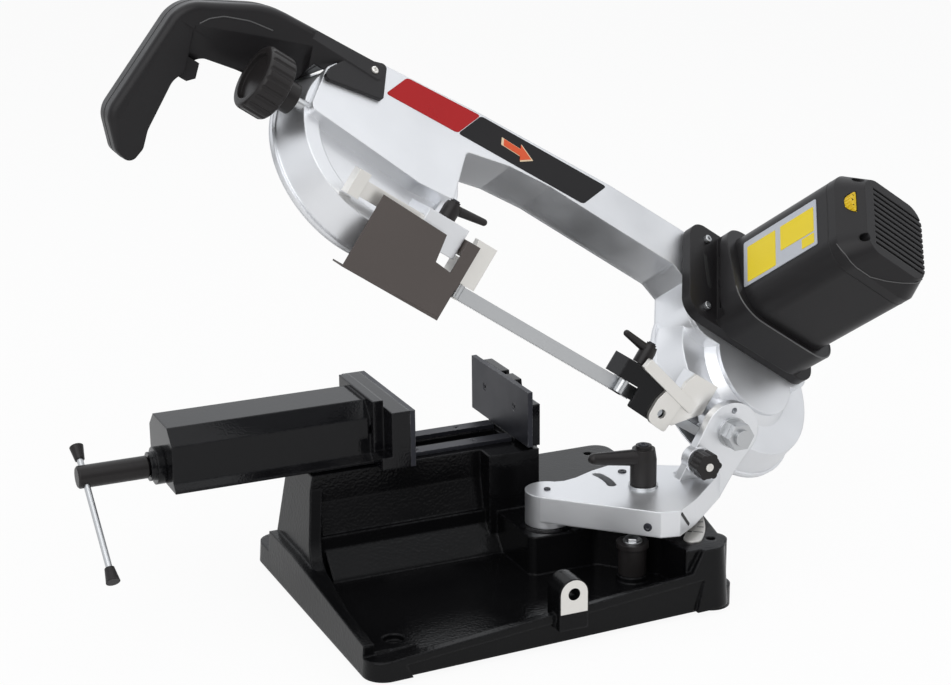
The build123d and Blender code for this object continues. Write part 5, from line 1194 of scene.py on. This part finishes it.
class SAW_OT_rear_cover(SawOperator):
    """Presses stiffening beads into the rear cover."""

    bl_idname = "saw.rear_cover"
    bl_label = "Rear cover beads"

    def execute(self, context):
        angles = [2 * pi * step / RING_STEPS for step in range(RING_STEPS)]
        beads = []
        for x in (IDLER_X, DRIVE_X):
            circle = [(x + RING_R * cos(a), WHEEL_R + RING_R * sin(a), COVER_BACK) for a in angles]
            beads.append(bead(circle, RIDGE_R, closed=True))
        beads.append(bead(between(RIDGE_LINE, RIDGE_PARTS), RIDGE_R))
        finished(join(beads), "rear_cover_beads", BOW, "saw_head", "sheet")
        return {"FINISHED"}


SENSOR_WIDTH = 36.0
FLOOR_SIZE = 30.0
# Share of plain white that the floor shows to the camera, and to mirrors
FLOOR_SEEN = 0.93
FLOOR_MIRRORED = 0.35
SKY_COLOUR = (0.95, 0.97, 1.0, 1.0)
SKY_LIGHT = 0.40
# Direction in which the sky is brightest, and its fade from the far side to there
SKY_UP = (-0.20, 0.50, 0.84)
SKY_FADE = (-0.35, 0.55)
SKY_LEVEL = (0.26, 1.0)
# Lamps: name, place, aim, size and power
LAMPS = (
    ("key_light", (-1.4, -1.7, 1.9), (0.0, 0.0, 0.2), 2.8, 40.0),
    ("fill_light", (1.9, -1.2, 1.1), (0.1, 0.0, 0.25), 2.2, 13.0),
    ("top_light", (0.2, 0.6, 2.3), (0.0, 0.0, 0.2), 3.2, 18.0),
)


def bare_tree(owner):
    """Node tree of a material or world, without any nodes."""
    owner.use_nodes = True
    owner.node_tree.nodes.clear()
    return owner.node_tree


def seen_rays(tree):
    """Light Path node, and a mask of what the camera sees straight or through glass."""
    path = tree.nodes.new("ShaderNodeLightPath")
    mask = add_node(tree, "ShaderNodeMath", operation="MAXIMUM")
    wire(tree, (path, "Is Camera Ray", mask, 0), (path, "Is Transmission Ray", mask, 1))
    return path, mask


class SAW_OT_stage(SawOperator):
    """Sets the pale floor, the soft light and the camera."""

    bl_idname = "saw.stage"
    bl_label = "Studio"

    def execute(self, context):
        context.scene.view_settings.view_transform = "Standard"
        self.floor(context)
        self.world(context)
        self.lamps(context)
        self.camera(context)
        return {"FINISHED"}

    def floor(self, context):
        """Wide pale floor that keeps the shadow."""
        floor = added(bpy.ops.mesh.primitive_plane_add, size=FLOOR_SIZE)
        floor.name = "studio_floor"
        material = bpy.data.materials.new("studio_floor")
        tree = bare_tree(material)
        end = tree.nodes.new("ShaderNodeOutputMaterial")
        matt = add_node(tree, "ShaderNodeBsdfDiffuse", Color=(*context.scene.saw_colours.floor, 1.0))
        glow = add_node(tree, "ShaderNodeEmission", Color=(1.0, 1.0, 1.0, 1.0), Strength=1.0)
        path, seen = seen_rays(tree)
        share = add_node(tree, "ShaderNodeMath", operation="MULTIPLY")
        share.inputs[1].default_value = FLOOR_SEEN
        mirrored = add_node(tree, "ShaderNodeMath", operation="MULTIPLY_ADD")
        mirrored.inputs[1].default_value = FLOOR_MIRRORED
        mix = tree.nodes.new("ShaderNodeMixShader")
        wire(
            tree,
            (seen, "Value", share, 0),
            (path, "Is Glossy Ray", mirrored, 0),
            (share, "Value", mirrored, 2),
            (mirrored, "Value", mix, "Fac"),
            (matt, "BSDF", mix, 1),
            (glow, "Emission", mix, 2),
            (mix, "Shader", end, "Surface"),
        )
        floor.data.materials.append(material)

    def world(self, context):
        """Pale surround that is white above and behind the saw, weaker for the light that it gives."""
        world = bpy.data.worlds.new("studio_world")
        context.scene.world = world
        tree = bare_tree(world)
        end = tree.nodes.new("ShaderNodeOutputWorld")
        sky = add_node(tree, "ShaderNodeBackground", Color=SKY_COLOUR)
        path, clear = seen_rays(tree)
        seen = add_node(tree, "ShaderNodeMath", operation="MAXIMUM")
        place = tree.nodes.new("ShaderNodeTexCoord")
        height = add_node(tree, "ShaderNodeVectorMath", operation="DOT_PRODUCT")
        height.inputs[1].default_value = SKY_UP
        fade = remap(tree, SKY_FADE, SKY_LEVEL)
        level = add_node(tree, "ShaderNodeMix", data_type="FLOAT")
        level.inputs["A"].default_value = SKY_LIGHT
        wire(
            tree,
            (clear, "Value", seen, 0),
            (path, "Is Glossy Ray", seen, 1),
            (place, "Generated", height, 0),
            (height, "Value", fade, "Value"),
            (seen, "Value", level, "Factor"),
            (fade, "Result", level, "B"),
            (level, "Result", sky, "Strength"),
            (sky, "Background", end, "Surface"),
        )

    def lamps(self, context):
        """Key light from the upper left, a fill from the right and a top light."""
        for name, place, aim, size, power in LAMPS:
            data = bpy.data.lights.new(name, "AREA")
            data.size = size
            data.energy = power
            lamp = bpy.data.objects.new(name, data)
            context.scene.collection.objects.link(lamp)
            lamp.matrix_world = facing(place, Vector(place) - Vector(aim))

    def camera(self, context):
        """Camera that looks at its target from the front left."""
        studio = context.scene.saw_studio
        a, e, r = studio.azimuth, studio.elevation, studio.roll
        ahead = Vector((sin(a) * cos(e), cos(a) * cos(e), -sin(e)))
        right = Vector((cos(a), -sin(a), 0.0))
        up = Vector((sin(a) * sin(e), cos(a) * sin(e), cos(e)))
        rolled_right = right * cos(r) + up * sin(r)
        rolled_up = up * cos(r) - right * sin(r)
        eye = Vector(studio.target) - ahead * studio.distance
        data = bpy.data.cameras.new("saw_camera")
        data.lens = studio.lens
        data.sensor_width = SENSOR_WIDTH
        camera = bpy.data.objects.new("saw_camera", data)
        context.scene.collection.objects.link(camera)
        turn = Matrix((rolled_right, rolled_up, -ahead)).transposed().to_4x4()
        camera.matrix_world = Matrix.Translation(eye) @ turn
        context.scene.camera = camera


class SAW_PT_panel(bpy.types.Panel):
    """Sidebar list of the saw's colours, sizes and steps."""

    bl_idname = "SAW_PT_panel"
    bl_label = "Band Saw"
    bl_space_type = "VIEW_3D"
    bl_region_type = "UI"
    bl_category = "Band Saw"

    def draw(self, context):
        for group in (context.scene.saw_colours, context.scene.saw_sizes, context.scene.saw_studio):
            box = self.layout.box()
            for key in group.__annotations__:
                box.prop(group, key)
        for operator in STEPS:
            self.layout.operator(operator.bl_idname)


STEPS = (
    SAW_OT_finishes,
    SAW_OT_beam_band,
    SAW_OT_motor_plate,
    SAW_OT_motor_lines,
    SAW_OT_handle,
    SAW_OT_blade_teeth,
    SAW_OT_screws,
    SAW_OT_base_fittings,
    SAW_OT_scale_marks,
    SAW_OT_guard_fold,
    SAW_OT_rear_cover,
    SAW_OT_stage,
)
CLASSES = (SawColours, SawSizes, SawStudio, *STEPS, SAW_PT_panel)


def register():
    for cls in CLASSES:
        bpy.utils.register_class(cls)
    bpy.types.Scene.saw_colours = PointerProperty(type=SawColours)
    bpy.types.Scene.saw_sizes = PointerProperty(type=SawSizes)
    bpy.types.Scene.saw_studio = PointerProperty(type=SawStudio)


def unregister():
    del bpy.types.Scene.saw_studio
    del bpy.types.Scene.saw_sizes
    del bpy.types.Scene.saw_colours
    for cls in reversed(CLASSES):
        bpy.utils.unregister_class(cls)


def main():
    """Dresses the saw in order."""
    register()
    clear_selection()
    for operator in STEPS:
        area, name = operator.bl_idname.split(".")
        getattr(getattr(bpy.ops, area), name)()


if __name__ == "__main__":
    main()
